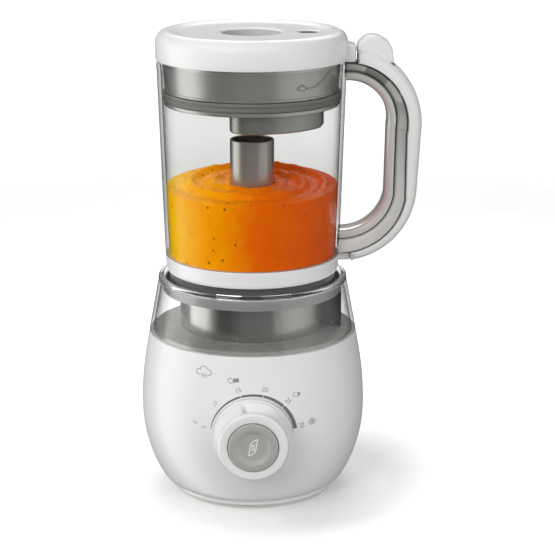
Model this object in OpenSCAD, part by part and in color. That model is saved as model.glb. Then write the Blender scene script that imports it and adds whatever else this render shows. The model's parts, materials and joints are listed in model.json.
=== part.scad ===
// Baby food maker: a steamer and a blender on one round base, with a lift-off jar and a twist lid.
// Millimetres, +Z up. The origin is on the floor under the centre of the base.
// The control knob faces -Y and the jar's handle points along +X.

/* [Base] */
// Radius of the base at its widest ring
body_r = 74.4; // [73.6:0.2:75.2]
// Height of the widest ring, where the two housings meet and the knob sits
waist_z = 58; // [57:0.5:59]
// Height of the lower edge of the clear water tank
tank_z = 109; // [108.6:0.2:109.6]
// Height of the rim that the jar stands in
seat_z = 146.6; // [146.2:0.2:147]
// Wall of the moulded housings
wall = 2.4; // [2:0.2:2.8]

/* [Jar] */
// Height of the food floor
jar_floor_z = 161; // [160.6:0.2:161.4]
// Height of the jar's top edge
jar_top_z = 287; // [286:0.2:287.4]
// Outer radius of the clear wall at the food floor
jar_low_r = 57.2; // [56.9:0.1:57.5]
// Outer radius of the clear wall at its top edge
jar_high_r = 61.3; // [61:0.1:61.6]
// Thickness of the clear wall
jar_wall_t = 2.4; // [2:0.2:2.8]

/* [Lid] */
// Outer radius of the lid
lid_r = 61.9; // [61.7:0.1:62.2]
// Height of the lid's lower edge
lid_z = 289; // [288.6:0.2:289.4]
// Height of the lid's top
lid_top_z = 307.5; // [307:0.5:308.5]
// Radius of the centre recess
recess_r = 19.5; // [18:0.5:20.5]
// Distance of the steam hole from the lid's centre
steam_x = 36.3; // [36:0.1:36.6]
// Radius of the steam hole
steam_r = 7.2; // [6.6:0.2:7.6]

/* [Handle] */
// Half of the white grip's width
grip_half = 12.5; // [12:0.5:13.5]
// Half of the clear core's width
core_half = 10.5; // [10:0.5:11.5]

/* [Controls] */
// Radius of the knob's face
knob_r = 22.3; // [22:0.1:22.6]
// Distance of the knob's face from the axis of the base
knob_d = 94.2; // [94:0.2:95]
// Radius of the blend button
button_r = 15.8; // [15.4:0.1:15.9]

/* [Drive] */
// Radius of the blade unit's tube
tube_r = 14.4; // [14:0.2:14.8]
// Height of the top of the blade unit's tube
tube_top_z = 236.5; // [230:0.5:240]
// Reach of the blades
blade_r = 44; // [38:1:46]
// Radius of the motor and blade shafts
shaft_r = 3; // [2.8:0.1:3.1]

/* [Hidden] */
$fn = 96;

// The base's outline: one arc below the waist, a flatter one above it, then a straight cone.
low_arc_r = 94.5;
high_arc_r = 215;
cone_z = waist_z + 37.7;
cone_r = body_r - high_arc_r + sqrt(pow(high_arc_r, 2) - pow(cone_z - waist_z, 2));
seat_out_r = cone_r - (seat_z - cone_z) * 0.178;
housing_z = 7.6;
plate_z = 3;
plate_r = 56;
boss_ring_r = 45;
gland_z = 40;
cord_hole_r = 3.5;

// The tank and the jar's seat inside its rim.
tank_wall = 2.2;
seat_r = 59;
seat_in_r = 57.6;
rim_h = 2.8;
seat_floor_z = seat_z - 8.1;
seat_floor_t = 2;
tank_floor_t = 2.5;
core_r = 48;
core_back = 28;
filler_y = 39;
filler_r = 10.5;

// The boiler beside the shaft, above the motor.
boiler_x = 38;
boiler_z = 92.5;
boiler_r = 16;
boiler_lid_z = 106;

// The motor, from the fan up to the coupling.
leg_ring_r = 31;
leg_top_z = 25;
bracket_t = 3;
low_bracket_z = 27;
high_bracket_z = 84;
stator_z = 36;
stator_h = 28;
stator_r = 25;
armature_r = 13.4;
bolt_y = 20.5;
coupling_z = 139.4;
dog_z = 142.8;
dog_top_z = 148.6;
driven_z = 149.4;
fit_gap = 0.05;

// The jar's lower end, its drive post and the blade unit.
base_z = 150;
jar_slope = (jar_high_r - jar_low_r) / (jar_top_z - jar_floor_z);
jar_floor_t = 3;
collar_r = 54.6;
post_r = 9;
post_top_z = 196;
tube_z = 163.6;
web_z = 199;

// The lid's inner parts.
skirt_z = 260;
seal_z = 262.6;
seal_h = 6.2;
chamber_z = 248;
tongue_r = 67;

// The handle: one circle above and one below for each of its three outlines, as [x, z, radius].
outer_hi = [60, 247, 50];
outer_lo = [57.5, 205.5, 50];
split_hi = [61, 247.5, 39.6];
split_lo = [57, 205, 43.4];
inner_hi = [62, 250, 25.3];
inner_lo = [58, 206, 28.5];
lock_pin_x = 79;
lock_pin_z = 289.4;
lock_spring_x = 87;
liner_t = 6;

// ---------- shared shapes ----------

// Outer outline of the base, drawn in by inset, between two heights, from the axis outwards.
module body_outline(inset, z0, z1) {
    intersection() {
        union() {
            intersection() {
                translate([body_r - low_arc_r, waist_z]) circle(r = low_arc_r - inset);
                square([100, waist_z]);
            }
            intersection() {
                translate([body_r - high_arc_r, waist_z]) circle(r = high_arc_r - inset);
                translate([0, waist_z]) square([100, cone_z - waist_z]);
            }
            polygon([[0, cone_z], [cone_r - inset, cone_z], [seat_out_r - inset, seat_z], [0, seat_z]]);
        }
        translate([0, z0]) square([100, z1 - z0]);
    }
}

// Shell that follows the base's outline between two heights.
module body_shell(t, z0, z1) {
    rotate_extrude() difference() {
        body_outline(0, z0, z1);
        body_outline(t, z0 - 1, z1 + 1);
    }
}

// Ring or disc about the Z axis, from z0 to z1.
module ring(r_out, r_in, z0, z1) {
    translate([0, 0, z0]) difference() {
        cylinder(h = z1 - z0, r = r_out);
        if (r_in > 0) translate([0, 0, -1]) cylinder(h = z1 - z0 + 2, r = r_in);
    }
}

// Cylinder along the knob's axis, from distance d0 to distance d1 in front of the base's axis.
module front_rod(r, d0, d1) {
    translate([0, -d0, waist_z]) rotate([90, 0, 0]) cylinder(h = d1 - d0, r = r);
}

// Turned shape about the knob's axis: x is the radius and y the distance in front of the base's axis.
module front_turned() {
    translate([0, 0, waist_z]) rotate([90, 0, 0]) rotate_extrude() children();
}

// Sector of a ring, centred on the direction a.
module dog(r_out, r_in, z0, z1, a, span) {
    rotate([0, 0, a - span / 2]) rotate_extrude(angle = span)
        translate([r_in, z0]) square([r_out - r_in, z1 - z0]);
}

// Two circles [x, y, r] and the strip between their right-hand tangent points.
module capsule(hi, lo, grow = 0) {
    translate([hi[0], hi[1]]) circle(r = hi[2] + grow);
    translate([lo[0], lo[1]]) circle(r = lo[2] + grow);
    gap = norm([hi[0] - lo[0], hi[1] - lo[1]]);
    lean = atan2(lo[0] - hi[0], hi[1] - lo[1]) + asin((hi[2] - lo[2]) / gap);
    tangent = [cos(lean), sin(lean)];
    polygon([
        [lo[0], lo[1]],
        [lo[0] + (lo[2] + grow) * tangent[0], lo[1] + (lo[2] + grow) * tangent[1]],
        [hi[0] + (hi[2] + grow) * tangent[0], hi[1] + (hi[2] + grow) * tangent[1]],
        [hi[0], hi[1]]]);
}

// Slab in the handle's plane, half thick on each side of it.
module handle_slab(half) {
    translate([0, half, 0]) rotate([90, 0, 0]) linear_extrude(height = 2 * half) children();
}

// Space that the jar and its base ring take, grown by gap.
module jar_space(gap) {
    translate([0, 0, jar_floor_z])
        cylinder(h = jar_top_z - jar_floor_z, r1 = jar_low_r + gap, r2 = jar_high_r + gap);
    translate([0, 0, base_z]) cylinder(h = jar_floor_z - base_z + 0.5, r = jar_low_r + gap);
}

// Helical wire: centre line radius r, wire radius w, a number of turns over a height h.
module coil(r, w, turns, h, sides = 8, steps = 18) {
    n = turns * steps;
    points = [for (i = [0:n]) for (k = [0:sides - 1])
        let (a = 360 * i / steps, b = 360 * k / sides)
        [(r + w * cos(b)) * cos(a), (r + w * cos(b)) * sin(a), h * i / n + w * sin(b)]];
    side_faces = [for (i = [0:n - 1]) for (k = [0:sides - 1])
        let (k2 = (k + 1) % sides)
        each [[i * sides + k, (i + 1) * sides + k, (i + 1) * sides + k2],
            [i * sides + k, (i + 1) * sides + k2, i * sides + k2]]];
    caps = [[for (k = [0:sides - 1]) k], [for (k = [sides - 1:-1:0]) n * sides + k]];
    polyhedron(points = points, faces = concat(side_faces, caps));
}

// ---------- base ----------

module foot_ring() {
    color("gainsboro") ring(53, 47, 0, plate_z + 0.6);
}

module base_plate() {
    color("white") difference() {
        union() {
            ring(plate_r, 0, plate_z, housing_z);
            ring(51.6, 0, housing_z, housing_z + 2);
        }
        for (a = [45:90:315]) rotate([0, 0, a]) translate([boss_ring_r + 4, -5, housing_z])
            cube([8, 10, 4]);
        ring(50, 0, plate_z + 2.4, housing_z + 3);
        ring(53, 47, plate_z - 1, plate_z + 0.6);
        for (a = [45:90:315]) rotate([0, 0, a]) translate([boss_ring_r - 3, 0, 0]) {
            translate([0, 0, plate_z - 1]) cylinder(h = 8, r = 1.8);
        }
        for (x = [-24:6:24]) translate([x - 1, -9, plate_z - 1]) cube([2, 18, 6]);
    }
}

module lower_housing() {
    color("white") difference() {
        union() {
            body_shell(wall, housing_z, waist_z);
            rotate_extrude() intersection() {
                body_outline(0.5, housing_z, housing_z + 2.4);
                translate([51.8, 0]) square([12, 40]);
            }
            for (a = [45:90:315]) rotate([0, 0, a]) translate([boss_ring_r - 3, 0, 0]) {
                translate([0, 0, housing_z + 2.4]) cylinder(h = 12, r = 3.6);
                translate([2, -1, housing_z + 2.4]) cube([16, 2, 12]);
                translate([8, -4, housing_z]) cube([6, 8, 4]);
            }
        }
        for (a = [45:90:315]) rotate([0, 0, a]) translate([boss_ring_r - 3, 0, housing_z])
            cylinder(h = 14, r = 1.4 + fit_gap);
        front_rod(25.6, 40, 90);
        translate([0, 50, gland_z]) rotate([-90, 0, 0]) cylinder(h = 40, r = 7);
    }
}

module upper_housing() {
    color("white") difference() {
        union() {
            body_shell(wall, waist_z, tank_z);
            ring(68, 60, tank_z - 2.4, tank_z);
            for (s = [-1, 1]) translate([-67, s * 17 - 1, 66]) cube([13, 2, 30]);
            translate([60, -7, 98]) cube([8.6, 14, boiler_lid_z - 100.4]);
        }
        front_rod(25.6, 40, 90);
    }
}

module housing_screws() {
    color("silver") for (a = [45:90:315]) rotate([0, 0, a]) translate([boss_ring_r - 3, 0, 0]) {
        translate([0, 0, plate_z + 2.5]) cylinder(h = 2, r = 3);
        translate([0, 0, plate_z + 4]) cylinder(h = 14, r = 1.4);
    }
}

module cord_gland() {
    color("white") translate([0, 0, gland_z]) rotate([-90, 0, 0]) difference() {
        union() {
            translate([0, 0, 62]) cylinder(h = 14, r = 6.95);
            translate([0, 0, 74]) cylinder(h = 3, r = 8.6);
            translate([0, 0, 62]) cylinder(h = 3.5, r = 8.6);
        }
        translate([0, 0, 61]) cylinder(h = 17, r = cord_hole_r);
    }
}

// ---------- water tank and boiler ----------

// Grey moulding of the tank: its floor, and the wall that keeps the water from the motor's side.
// The wall's flat back leaves a deeper water space under the filler.
module tank_base() {
    color("lightgray") difference() {
        union() {
            rotate_extrude() body_outline(tank_wall + 0.3, tank_z, tank_z + tank_floor_t);
            intersection() {
                ring(core_r, 0, tank_z + 1, seat_floor_z - seat_floor_t);
                translate([-100, -100, 0]) cube([200, 100 + core_back, 200]);
            }
        }
        core_inside(tank_z - 1, seat_z);
        translate([52, 0, tank_z - 1]) cylinder(h = 5, r = 2.6);
    }
}

// Clear tank wall, with a thick rounded rim turned in at its top.
module tank_shell() {
    rim_r = seat_out_r + 0.3;
    color("lightblue", 0.3) union() {
        body_shell(tank_wall, tank_z, seat_z - 2);
        rotate_extrude() {
            translate([seat_r - 1.1, seat_z - rim_h]) square([rim_r - 1.6 - seat_r + 1.1, rim_h]);
            translate([rim_r - 1.6, seat_z - 1.6]) circle(r = 1.6);
        }
    }
}

// Dry space inside the tank's inner wall, between two heights.
module core_inside(z0, z1) {
    intersection() {
        ring(core_r - 2, 0, z0, z1);
        translate([-100, -100, 0]) cube([200, 98 + core_back, 200]);
    }
}

// Floor of the jar's seat, which closes the tank and the motor's space from above.
module jar_seat() {
    color("silver") difference() {
        ring(seat_r, 0, seat_floor_z - seat_floor_t, seat_floor_z);
        ring(shaft_r + 4, 0, 130, 150);
        translate([0, filler_y, 130]) cylinder(h = 20, r = filler_r);
        translate([steam_x, 0, 130]) cylinder(h = 20, r = 4.2);
    }
}

// Upright ring between the seat's floor and the tank's rim.
module seat_ring() {
    color("silver") ring(seat_r, seat_in_r, seat_floor_z, seat_z - rim_h);
}

// Dark housing over the valve that feeds the boiler from the tank.
module feed_valve_box() {
    color("dimgray") difference() {
        intersection() {
            translate([core_r - 4, -8, tank_z + tank_floor_t]) cube([15, 16, 22]);
            difference() {
                ring(59, core_r + 0.2, tank_z, seat_z);
            }
        }
        translate([52, 0, tank_z]) cylinder(h = 20, r = 3);
        translate([52, -10, tank_z + 2]) cube([3, 20, 4]);
    }
}

// Screwed cap of the water filler, hidden under the jar.
module filler_cap() {
    color("gray") translate([0, filler_y, 0]) difference() {
        union() {
            ring(filler_r - 0.35, 0, seat_floor_z - 6, seat_floor_z + 0.3);
            ring(filler_r + 1.5, 0, seat_floor_z + 0.3, seat_floor_z + 2.4);
            translate([-7, -1, seat_floor_z + 2.4]) cube([14, 2, 3]);
        }
        ring(filler_r - 2, 0, seat_floor_z - 7, seat_floor_z - 1);
    }
}

// Boiler, with an arm from its rim that rests on a ledge of the upper housing.
module boiler_cup() {
    color("silver") translate([boiler_x, 0, 0]) difference() {
        union() {
            ring(boiler_r, 0, boiler_z, boiler_lid_z - 1.2);
            ring(boiler_r + 3, 0, boiler_lid_z - 2.4, boiler_lid_z - 1.2);
            translate([10, -6, boiler_lid_z - 2.4]) cube([66.8 - boiler_x - 10, 12, 1.2]);
        }
        ring(boiler_r - 1.2, 0, boiler_z + 1.2, boiler_lid_z);
    }
}

module boiler_seal() {
    color("tomato") translate([boiler_x, 0, 0])
        ring(boiler_r + 1.6, boiler_r - 1, boiler_lid_z - 1.2, boiler_lid_z);
}

// Lid of the boiler, with the spigots for the water feed and the steam pipe.
module boiler_lid() {
    color("gainsboro") difference() {
        union() {
            translate([boiler_x, 0, 0]) ring(boiler_r + 1.8, 0, boiler_lid_z, boiler_lid_z + 2);
            translate([52, 0, 0]) ring(2.5, 0, boiler_lid_z, tank_z + tank_floor_t);
            translate([steam_x, 0, 0]) ring(5.6, 0, boiler_lid_z, boiler_lid_z + 6);
        }
        translate([52, 0, 0]) ring(1.4, 0, boiler_lid_z - 1, tank_z + 5);
        translate([steam_x, 0, 0]) ring(4.05, 0, boiler_lid_z - 1, boiler_lid_z + 8);
    }
}

module heating_element() {
    color("gray") translate([boiler_x, 0, boiler_z - 1.6]) rotate_extrude()
        translate([11, 0]) circle(r = 1.5);
}

module thermostat() {
    color("silver") translate([boiler_x, 0, 0]) ring(6, 0, boiler_z - 3.4, boiler_z);
}

// Steam pipe from the boiler's lid up through the seat, where its end is the steam nozzle.
module steam_pipe() {
    color("gainsboro") translate([steam_x, 0, 0]) difference() {
        union() {
            ring(4, 0, boiler_lid_z + 0.5, seat_floor_z + 5);
            ring(6.2, 0, seat_floor_z, seat_floor_z + 1.6);
        }
        ring(2.6, 0, boiler_lid_z - 1, seat_floor_z + 6);
    }
}

// ---------- motor ----------

module motor_cradle() {
    color("gainsboro") difference() {
        union() {
            for (a = [0:90:270]) rotate([0, 0, a]) translate([leg_ring_r, 0, 0])
                ring(4, 0, plate_z + 2.4, leg_top_z);
            ring(leg_ring_r + 2, leg_ring_r - 2.5, plate_z + 2.4, plate_z + 6);
        }
        for (a = [0:90:270]) rotate([0, 0, a]) translate([leg_ring_r, 0, leg_top_z - 10])
            cylinder(h = 12, r = 1.5);
    }
}

module motor_grommets() {
    color("dimgray") for (a = [0:90:270]) rotate([0, 0, a]) translate([leg_ring_r, 0, 0])
        ring(4.5, 1.6, leg_top_z, low_bracket_z);
}

module motor_lower_bracket() {
    color("silver") difference() {
        union() {
            ring(stator_r, 0, low_bracket_z, low_bracket_z + bracket_t);
            for (a = [0, 90]) rotate([0, 0, a]) translate([-leg_ring_r, -5, low_bracket_z])
                cube([2 * leg_ring_r, 10, bracket_t]);
            for (a = [0:90:270]) rotate([0, 0, a]) translate([leg_ring_r, 0, 0])
                ring(5, 0, low_bracket_z, low_bracket_z + bracket_t);
        }
        ring(8, 0, 20, 40);
        for (a = [0:90:270]) rotate([0, 0, a]) translate([leg_ring_r, 0, 20]) cylinder(h = 20, r = 1.6);
        for (s = [-1, 1]) translate([0, s * bolt_y, 20]) cylinder(h = 20, r = 1.6 + fit_gap);
        for (a = [45:90:315]) rotate([0, 0, a]) translate([16, 0, 20]) cylinder(h = 20, r = 4);
    }
}

// Upper bracket, with a sleeve under it for each carbon brush.
module motor_upper_bracket() {
    color("silver") difference() {
        union() {
            ring(stator_r, 0, high_bracket_z, high_bracket_z + bracket_t);
            for (s = [-1, 1]) translate([s * 16, 0, 78.5]) cube([8, 7.4, 13], center = true);
        }
        for (s = [-1, 1]) translate([s * 16, 0, 76]) cube([10, 5.1, 6.1], center = true);
        ring(8, 0, 80, 100);
        for (s = [-1, 1]) translate([0, s * bolt_y, 80]) cylinder(h = 20, r = 1.6 + fit_gap);
        for (a = [45:90:315]) rotate([0, 0, a]) translate([16, 0, 80]) cylinder(h = 20, r = 4);
    }
}

module stator_core() {
    color("gray") difference() {
        intersection() {
            ring(stator_r, armature_r + 0.6, stator_z, stator_z + stator_h);
            translate([-22, -30, 0]) cube([44, 60, 100]);
        }
        for (s = [-1, 1]) translate([0, s * bolt_y, stator_z - 1])
            cylinder(h = stator_h + 2, r = 1.6 + fit_gap);
    }
}

// End turns of the two field coils, above and below the stator.
module field_coils() {
    color("peru") for (z = [stator_z - 5, stator_z + stator_h]) for (a = [0, 180])
        dog(18.5, armature_r + 0.8, z, z + 5, a, 130);
}

module motor_bolts() {
    color("silver") for (s = [-1, 1]) translate([0, s * bolt_y, 0]) {
        ring(1.6, 0, low_bracket_z - 1, high_bracket_z + bracket_t);
        ring(3, 0, high_bracket_z + bracket_t, high_bracket_z + bracket_t + 2);
    }
}

module motor_bearings() {
    color("silver") for (z = [low_bracket_z - 1, high_bracket_z - 1])
        ring(8 - fit_gap, shaft_r + fit_gap, z, z + 5);
}

module carbon_brushes() {
    color("dimgray") for (s = [-1, 1]) translate([s * 14, 0, 76])
        cube([10.6, 5, 6], center = true);
}

module shaft_seal() {
    color("tomato") ring(shaft_r + 4, shaft_r + fit_gap, seat_floor_z - seat_floor_t, seat_floor_z);
}

module motor_shaft() {
    color("silver") ring(shaft_r, 0, 12, coupling_z + 2);
}

// Laminated core of the armature, with its windings' ends above and below it.
module armature() {
    color("peru") {
        ring(armature_r, shaft_r + fit_gap, stator_z, stator_z + stator_h);
        ring(11.5, shaft_r + fit_gap, stator_z - 4.6, stator_z - 0.1);
        ring(11.5, shaft_r + fit_gap, stator_z + stator_h + 0.1, stator_z + stator_h + 4.6);
    }
}

module commutator() {
    color("peru") ring(8.3, shaft_r + fit_gap, 70, 81);
}

module cooling_fan() {
    color("white") difference() {
        union() {
            ring(5.5, 0, 13, 20);
            ring(22, 0, 18.6, 20);
            for (a = [0:40:320]) rotate([0, 0, a]) translate([4, -0.7, 13]) cube([18, 1.4, 6]);
        }
        ring(shaft_r + fit_gap, 0, 10, 22);
    }
}

// Three-dog coupling on the motor's shaft. The jar's coupling drops between its dogs.
module drive_coupling() {
    color("white") difference() {
        union() {
            ring(11, 0, coupling_z, dog_z);
            for (a = [0:120:240]) dog(10.6, 5, dog_z - 0.5, dog_top_z, a, 40);
        }
        ring(shaft_r + fit_gap, 0, coupling_z - 1, coupling_z + 2.05);
    }
}

// ---------- controls ----------

module circuit_board() {
    color("seagreen") {
        translate([-54, -20, 64]) cube([1.6, 40, 36]);
        translate([-52.4, -16, 70]) cube([12, 14, 16]);
        translate([-52.4, 8, 74]) rotate([0, 90, 0]) cylinder(h = 14, r = 6);
        translate([-52.4, -10, 90]) cube([6, 24, 6]);
    }
}

module timer_body() {
    color("gainsboro") difference() {
        union() {
            translate([-17, -65, waist_z - 17]) cube([34, 23, 34]);
            for (s = [-1, 1]) translate([s * 11.5 - 1.5, -42, waist_z - 6]) cube([3, 11, 12]);
        }
        front_rod(2.5, 40, 70);
        front_rod(4.3, 52, 70);
    }
}

// Microswitch behind the timer, which the blend button works through its rod.
module button_switch() {
    color("black") {
        translate([-10, -37.4, waist_z - 5]) cube([20, 6.4, 10]);
        front_rod(1.6, 37.4, 38);
    }
}

module knob_bezel() {
    color("white") front_turned() difference() {
        translate([0, 65]) square([25.4, 12]);
        translate([0, 67.4]) square([22.8, 20]);
        translate([0, 60]) square([4.6, 20]);
    }
}

// Control knob: a shallow cone with a rounded front edge, a finger dent and a well for the button.
module control_knob() {
    color("whitesmoke") difference() {
        front_turned() difference() {
            union() {
                polygon([[0, 77.4], [24.6, 77.4], [24.6, 79], [knob_r, knob_d - 1.2], [knob_r, knob_d - 1],
                    [knob_r - 1.2, knob_d], [0, knob_d]]);
                translate([0, 68.5]) square([7, 10]);
            }
            translate([0, 82]) square([button_r + 0.35, 30]);
            translate([0, 60]) square([4.05, 30]);
            translate([9, 70]) square([13, 9.4]);
        }
        translate([0, 0, waist_z]) rotate([90, 0, 0]) rotate([0, 0, 48]) rotate_extrude(angle = 60)
            translate([27.6, 86]) circle(r = 6);
    }
}

module timer_spindle() {
    color("silver") difference() {
        front_rod(4, 52.5, 82);
        front_rod(2.4, 50, 84);
    }
}

// Blend button with a dished centre, and a long stem that reaches the switch.
module blend_button() {
    color("darkgray") {
        front_turned() difference() {
            polygon([[0, 87], [button_r, 87], [button_r, knob_d + 0.4], [button_r - 1, knob_d + 1.4],
                [11.8, knob_d + 1.4], [8.9, knob_d], [0, knob_d]]);
            translate([0, 86]) square([13, 4]);
        }
        front_rod(2, 41.4, 90.5);
    }
}

module button_spring() {
    color("silver") translate([0, -82.5, waist_z]) rotate([90, 0, 0])
        coil(r = 8, w = 0.45, turns = 4, h = 7);
}

// ---------- jar ----------

module jar_wall() {
    color("lightblue", 0.3) rotate_extrude() difference() {
        polygon([[jar_low_r - jar_wall_t, jar_floor_z], [jar_low_r, jar_floor_z],
            [jar_high_r - 0.8 * jar_slope, jar_top_z - 0.8], [jar_high_r - 0.8, jar_top_z],
            [jar_high_r - jar_wall_t + 0.4, jar_top_z], [jar_high_r - jar_wall_t, jar_top_z - 0.4]]);
    }
}

// White ring under the clear wall, with a lug for the grip's lower end.
module jar_base() {
    color("white") {
        rotate_extrude() polygon([[collar_r - 3, base_z], [jar_low_r - 2.2, base_z],
            [jar_low_r - 1.2, base_z + 1], [jar_low_r, jar_floor_z - 1], [jar_low_r, jar_floor_z],
            [collar_r - 3, jar_floor_z]]);
        translate([56, -4, 155.6]) cube([8.5, 8, 5]);
    }
}

// Dark collar that locates the jar in the base's seat.
module jar_collar() {
    color("dimgray") difference() {
        ring(collar_r, collar_r - 3, seat_floor_z + 0.3, base_z);
        for (a = [60:120:300]) rotate([0, 0, a]) translate([40, -4, seat_floor_z]) cube([30, 8, 4]);
    }
}

// Food floor of the jar, with the hollow post that carries the blade shaft.
module jar_floor() {
    color("white") difference() {
        union() {
            ring(collar_r - 3, 0, jar_floor_z - jar_floor_t, jar_floor_z);
            ring(post_r, 0, jar_floor_z - 5, post_top_z);
            ring(post_r + 3, 0, jar_floor_z - 5, jar_floor_z + 1.2);
        }
        ring(5.5, 0, 150, 200);
    }
}

module jar_bushes() {
    color("peru") for (z = [jar_floor_z - 4.6, post_top_z - 9])
        ring(5.5, shaft_r + fit_gap, z, z + 8);
}

// Smoked clear core of the handle, moulded against the jar's wall.
module handle_core() {
    color("gray", 0.5) difference() {
        handle_slab(core_half) difference() {
            capsule(split_hi, split_lo);
            capsule(inner_hi, inner_lo);
            square([20, 400]);
            translate([0, jar_floor_z - 20]) square([200, 20]);
            translate([0, jar_top_z]) square([200, 40]);
            translate([0, inner_lo[1]]) square([inner_hi[0], inner_hi[1] - inner_lo[1]]);
        }
        handle_slab(core_half) handle_lining();
        jar_space(0);
    }
}

// Band round the finger gap that the grey lining fills.
module handle_lining() {
    difference() {
        capsule(inner_hi, inner_lo, liner_t);
        capsule(inner_hi, inner_lo);
        square([20, 400]);
        translate([0, inner_lo[1]]) square([inner_hi[0], inner_hi[1] - inner_lo[1]]);
    }
}

module handle_liner() {
    color("dimgray") difference() {
        handle_slab(core_half) handle_lining();
        jar_space(0);
    }
}

// White grip outside the core, with a pocket on top for the lid lock.
module handle_grip() {
    color("white") difference() {
        handle_slab(grip_half) difference() {
            capsule(outer_hi, outer_lo);
            capsule(split_hi, split_lo);
            square([64.5, 400]);
            translate([0, 200]) square([tongue_r + 0.6, 200]);
            translate([0, 100]) square([200, 53]);
        }
        jar_space(1);
        ring(tongue_r + 0.5, 0, 200, 320);
        handle_slab(8.4) lock_pocket();
        lock_pin_rod(1.3, grip_half - 1);
    }
}

module lock_pin_rod(r, half) {
    translate([lock_pin_x, half, lock_pin_z]) rotate([90, 0, 0]) cylinder(h = 2 * half, r = r);
}

// Side outline of the lid lock: a rounded thumb pad on a rocker that turns about the pin.
module lock_outline() {
    polygon([[68.2, 291.5], [68.2, 298.5], [70.8, 301.7], [73.9, 303.8], [77, 304.3], [81, 303.6],
        [84.9, 301.6], [88.1, 299.1], [90, 295.6], [90.6, 291.6], [90.6, 286.8], [84, 285.4], [76, 286.6]]);
}

// Pocket in the grip for the lid lock, with room for it to rock.
module lock_pocket() {
    polygon([[60, 290.6], [60, 310], [100, 310], [91.6, 297], [91.6, 283.4], [84, 283.4], [75.6, 285.6],
        [69.6, 288.6]]);
}

module lid_lock() {
    color("white") difference() {
        handle_slab(8) lock_outline();
        lock_pin_rod(1.3 + fit_gap, 20);
        translate([lock_spring_x, 0, 280]) cylinder(h = 12, r = 2.6);
    }
}

module lid_lock_pin() {
    color("silver") lock_pin_rod(1.3, grip_half - 1);
}

module lock_spring() {
    color("silver") translate([lock_spring_x, 0, 284.6]) coil(r = 1.9, w = 0.3, turns = 5, h = 7);
}

// ---------- blade unit ----------

module driven_coupling() {
    color("white") difference() {
        union() {
            ring(11, 0, driven_z, driven_z + 4);
            for (a = [60:120:300]) dog(10.6, 5, dog_z + 0.6, driven_z + 0.5, a, 40);
        }
        ring(shaft_r + fit_gap, 0, driven_z - 0.1, driven_z + 5);
    }
}

// Drive shaft in the jar's post, with a square head for the blade unit.
module blade_shaft() {
    color("silver") {
        ring(shaft_r, 0, driven_z, web_z + 1);
        translate([-2, -2, web_z + 1]) cube([4, 4, 6]);
    }
}

// Tall tube that drops over the post. The web inside it takes the shaft's square head.
module blade_tube() {
    color("darkgray") difference() {
        union() {
            ring(tube_r, 0, tube_z, tube_top_z);
            ring(tube_r + 2.2, 0, tube_z, tube_z + 9);
        }
        ring(tube_r - 1.6, 0, tube_z - 1, web_z);
        ring(tube_r - 1.6, 0, web_z + 6, tube_top_z + 1);
        ring(shaft_r + 0.3, 0, web_z - 1, web_z + 1);
        translate([-2.1, -2.1, web_z]) cube([4.2, 4.2, 8]);
    }
}

// One swept blade: a crescent between two arcs, thick in Z, starting at the tube.
module blade(z) {
    translate([0, 0, z]) difference() {
        intersection() {
            translate([blade_r / 2, -14, 0]) cylinder(h = 1.3, r = 26);
            translate([10, 0, -1]) cube([blade_r - 10, 30, 4]);
        }
        translate([blade_r / 2 + 4, -28, -1]) cylinder(h = 4, r = 33);
        translate([0, 0, -1]) cylinder(h = 4, r = tube_r + 2.2);
    }
}

// Steel ring with its two pairs of blades, fixed on the tube's lower collar.
module blade_ring() {
    color("silver") {
        ring(tube_r + 4.6, tube_r + 2.2, tube_z + 1.6, tube_z + 2.9);
        ring(tube_r + 4.6, tube_r + 2.2, tube_z + 6, tube_z + 7.3);
        for (a = [0, 180]) rotate([0, 0, a]) blade(tube_z + 1.6);
        for (a = [90, 270]) rotate([0, 0, a]) blade(tube_z + 6);
    }
}

// ---------- lid ----------

// White cover with a dished top, a centre recess, a steam hole and the tongue that meets the handle.
module lid_cover() {
    color("white") difference() {
        union() {
            rotate_extrude() difference() {
                union() {
                    translate([0, lid_z]) square([lid_r, lid_top_z - 7 - lid_z]);
                    translate([0, lid_z]) square([lid_r - 7, lid_top_z - lid_z]);
                    translate([lid_r - 7, lid_top_z - 7]) circle(r = 7);
                }
                polygon([[0, lid_top_z + 1], [0, lid_top_z - 1.5], [46, lid_top_z - 1.5],
                    [51, lid_top_z], [51, lid_top_z + 1]]);
                polygon([[0, lid_z - 1], [lid_r - 2.4, lid_z - 1], [lid_r - 2.4, lid_top_z - 7.5],
                    [lid_r - 6, lid_top_z - 4], [0, lid_top_z - 4]]);
            }
            intersection() {
                ring(tongue_r, lid_r - 2, lid_z - 1.4, lid_z + 8.3);
                translate([40, -10, 200]) cube([40, 20, 200]);
            }
            ring(recess_r + 2.2, 0, lid_z + 6, lid_top_z - 1.6);
            translate([steam_x, 0, 0]) ring(steam_r + 2, 0, lid_z + 6, lid_top_z - 1.6);
        }
        translate([0, 0, lid_z]) cylinder(h = 30, r = recess_r);
        translate([steam_x, 0, lid_z]) cylinder(h = 30, r = steam_r);
        translate([52, 1, lid_top_z - 4.5]) cube([6.5, 10, 6]);
    }
}

// Grey inner lid: a skirt inside the jar and a plate that closes the recess.
module lid_skirt() {
    color("darkgray") difference() {
        union() {
            rotate_extrude() polygon([[51.6, skirt_z], [57, skirt_z], [57, seal_z], [54.2, seal_z],
                [54.2, seal_z + seal_h], [56, seal_z + seal_h], [57.6, lid_z + 0.2], [59.2, lid_z + 0.2],
                [59.2, lid_z + 6], [54.8, lid_z + 6], [54.8, lid_z], [52.2, seal_z + seal_h]]);
            ring(57, 0, lid_z + 3, lid_z + 6);
            rotate([0, 0, -57]) intersection() {
                ring(57.9, 54, 270, 284);
                translate([50, 0, 277]) rotate([0, 90, 0]) scale(0.5) cylinder(h = 20, r = 5);
            }
        }
        translate([steam_x, 0, lid_z]) cylinder(h = 20, r = steam_r);
    }
}

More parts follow.
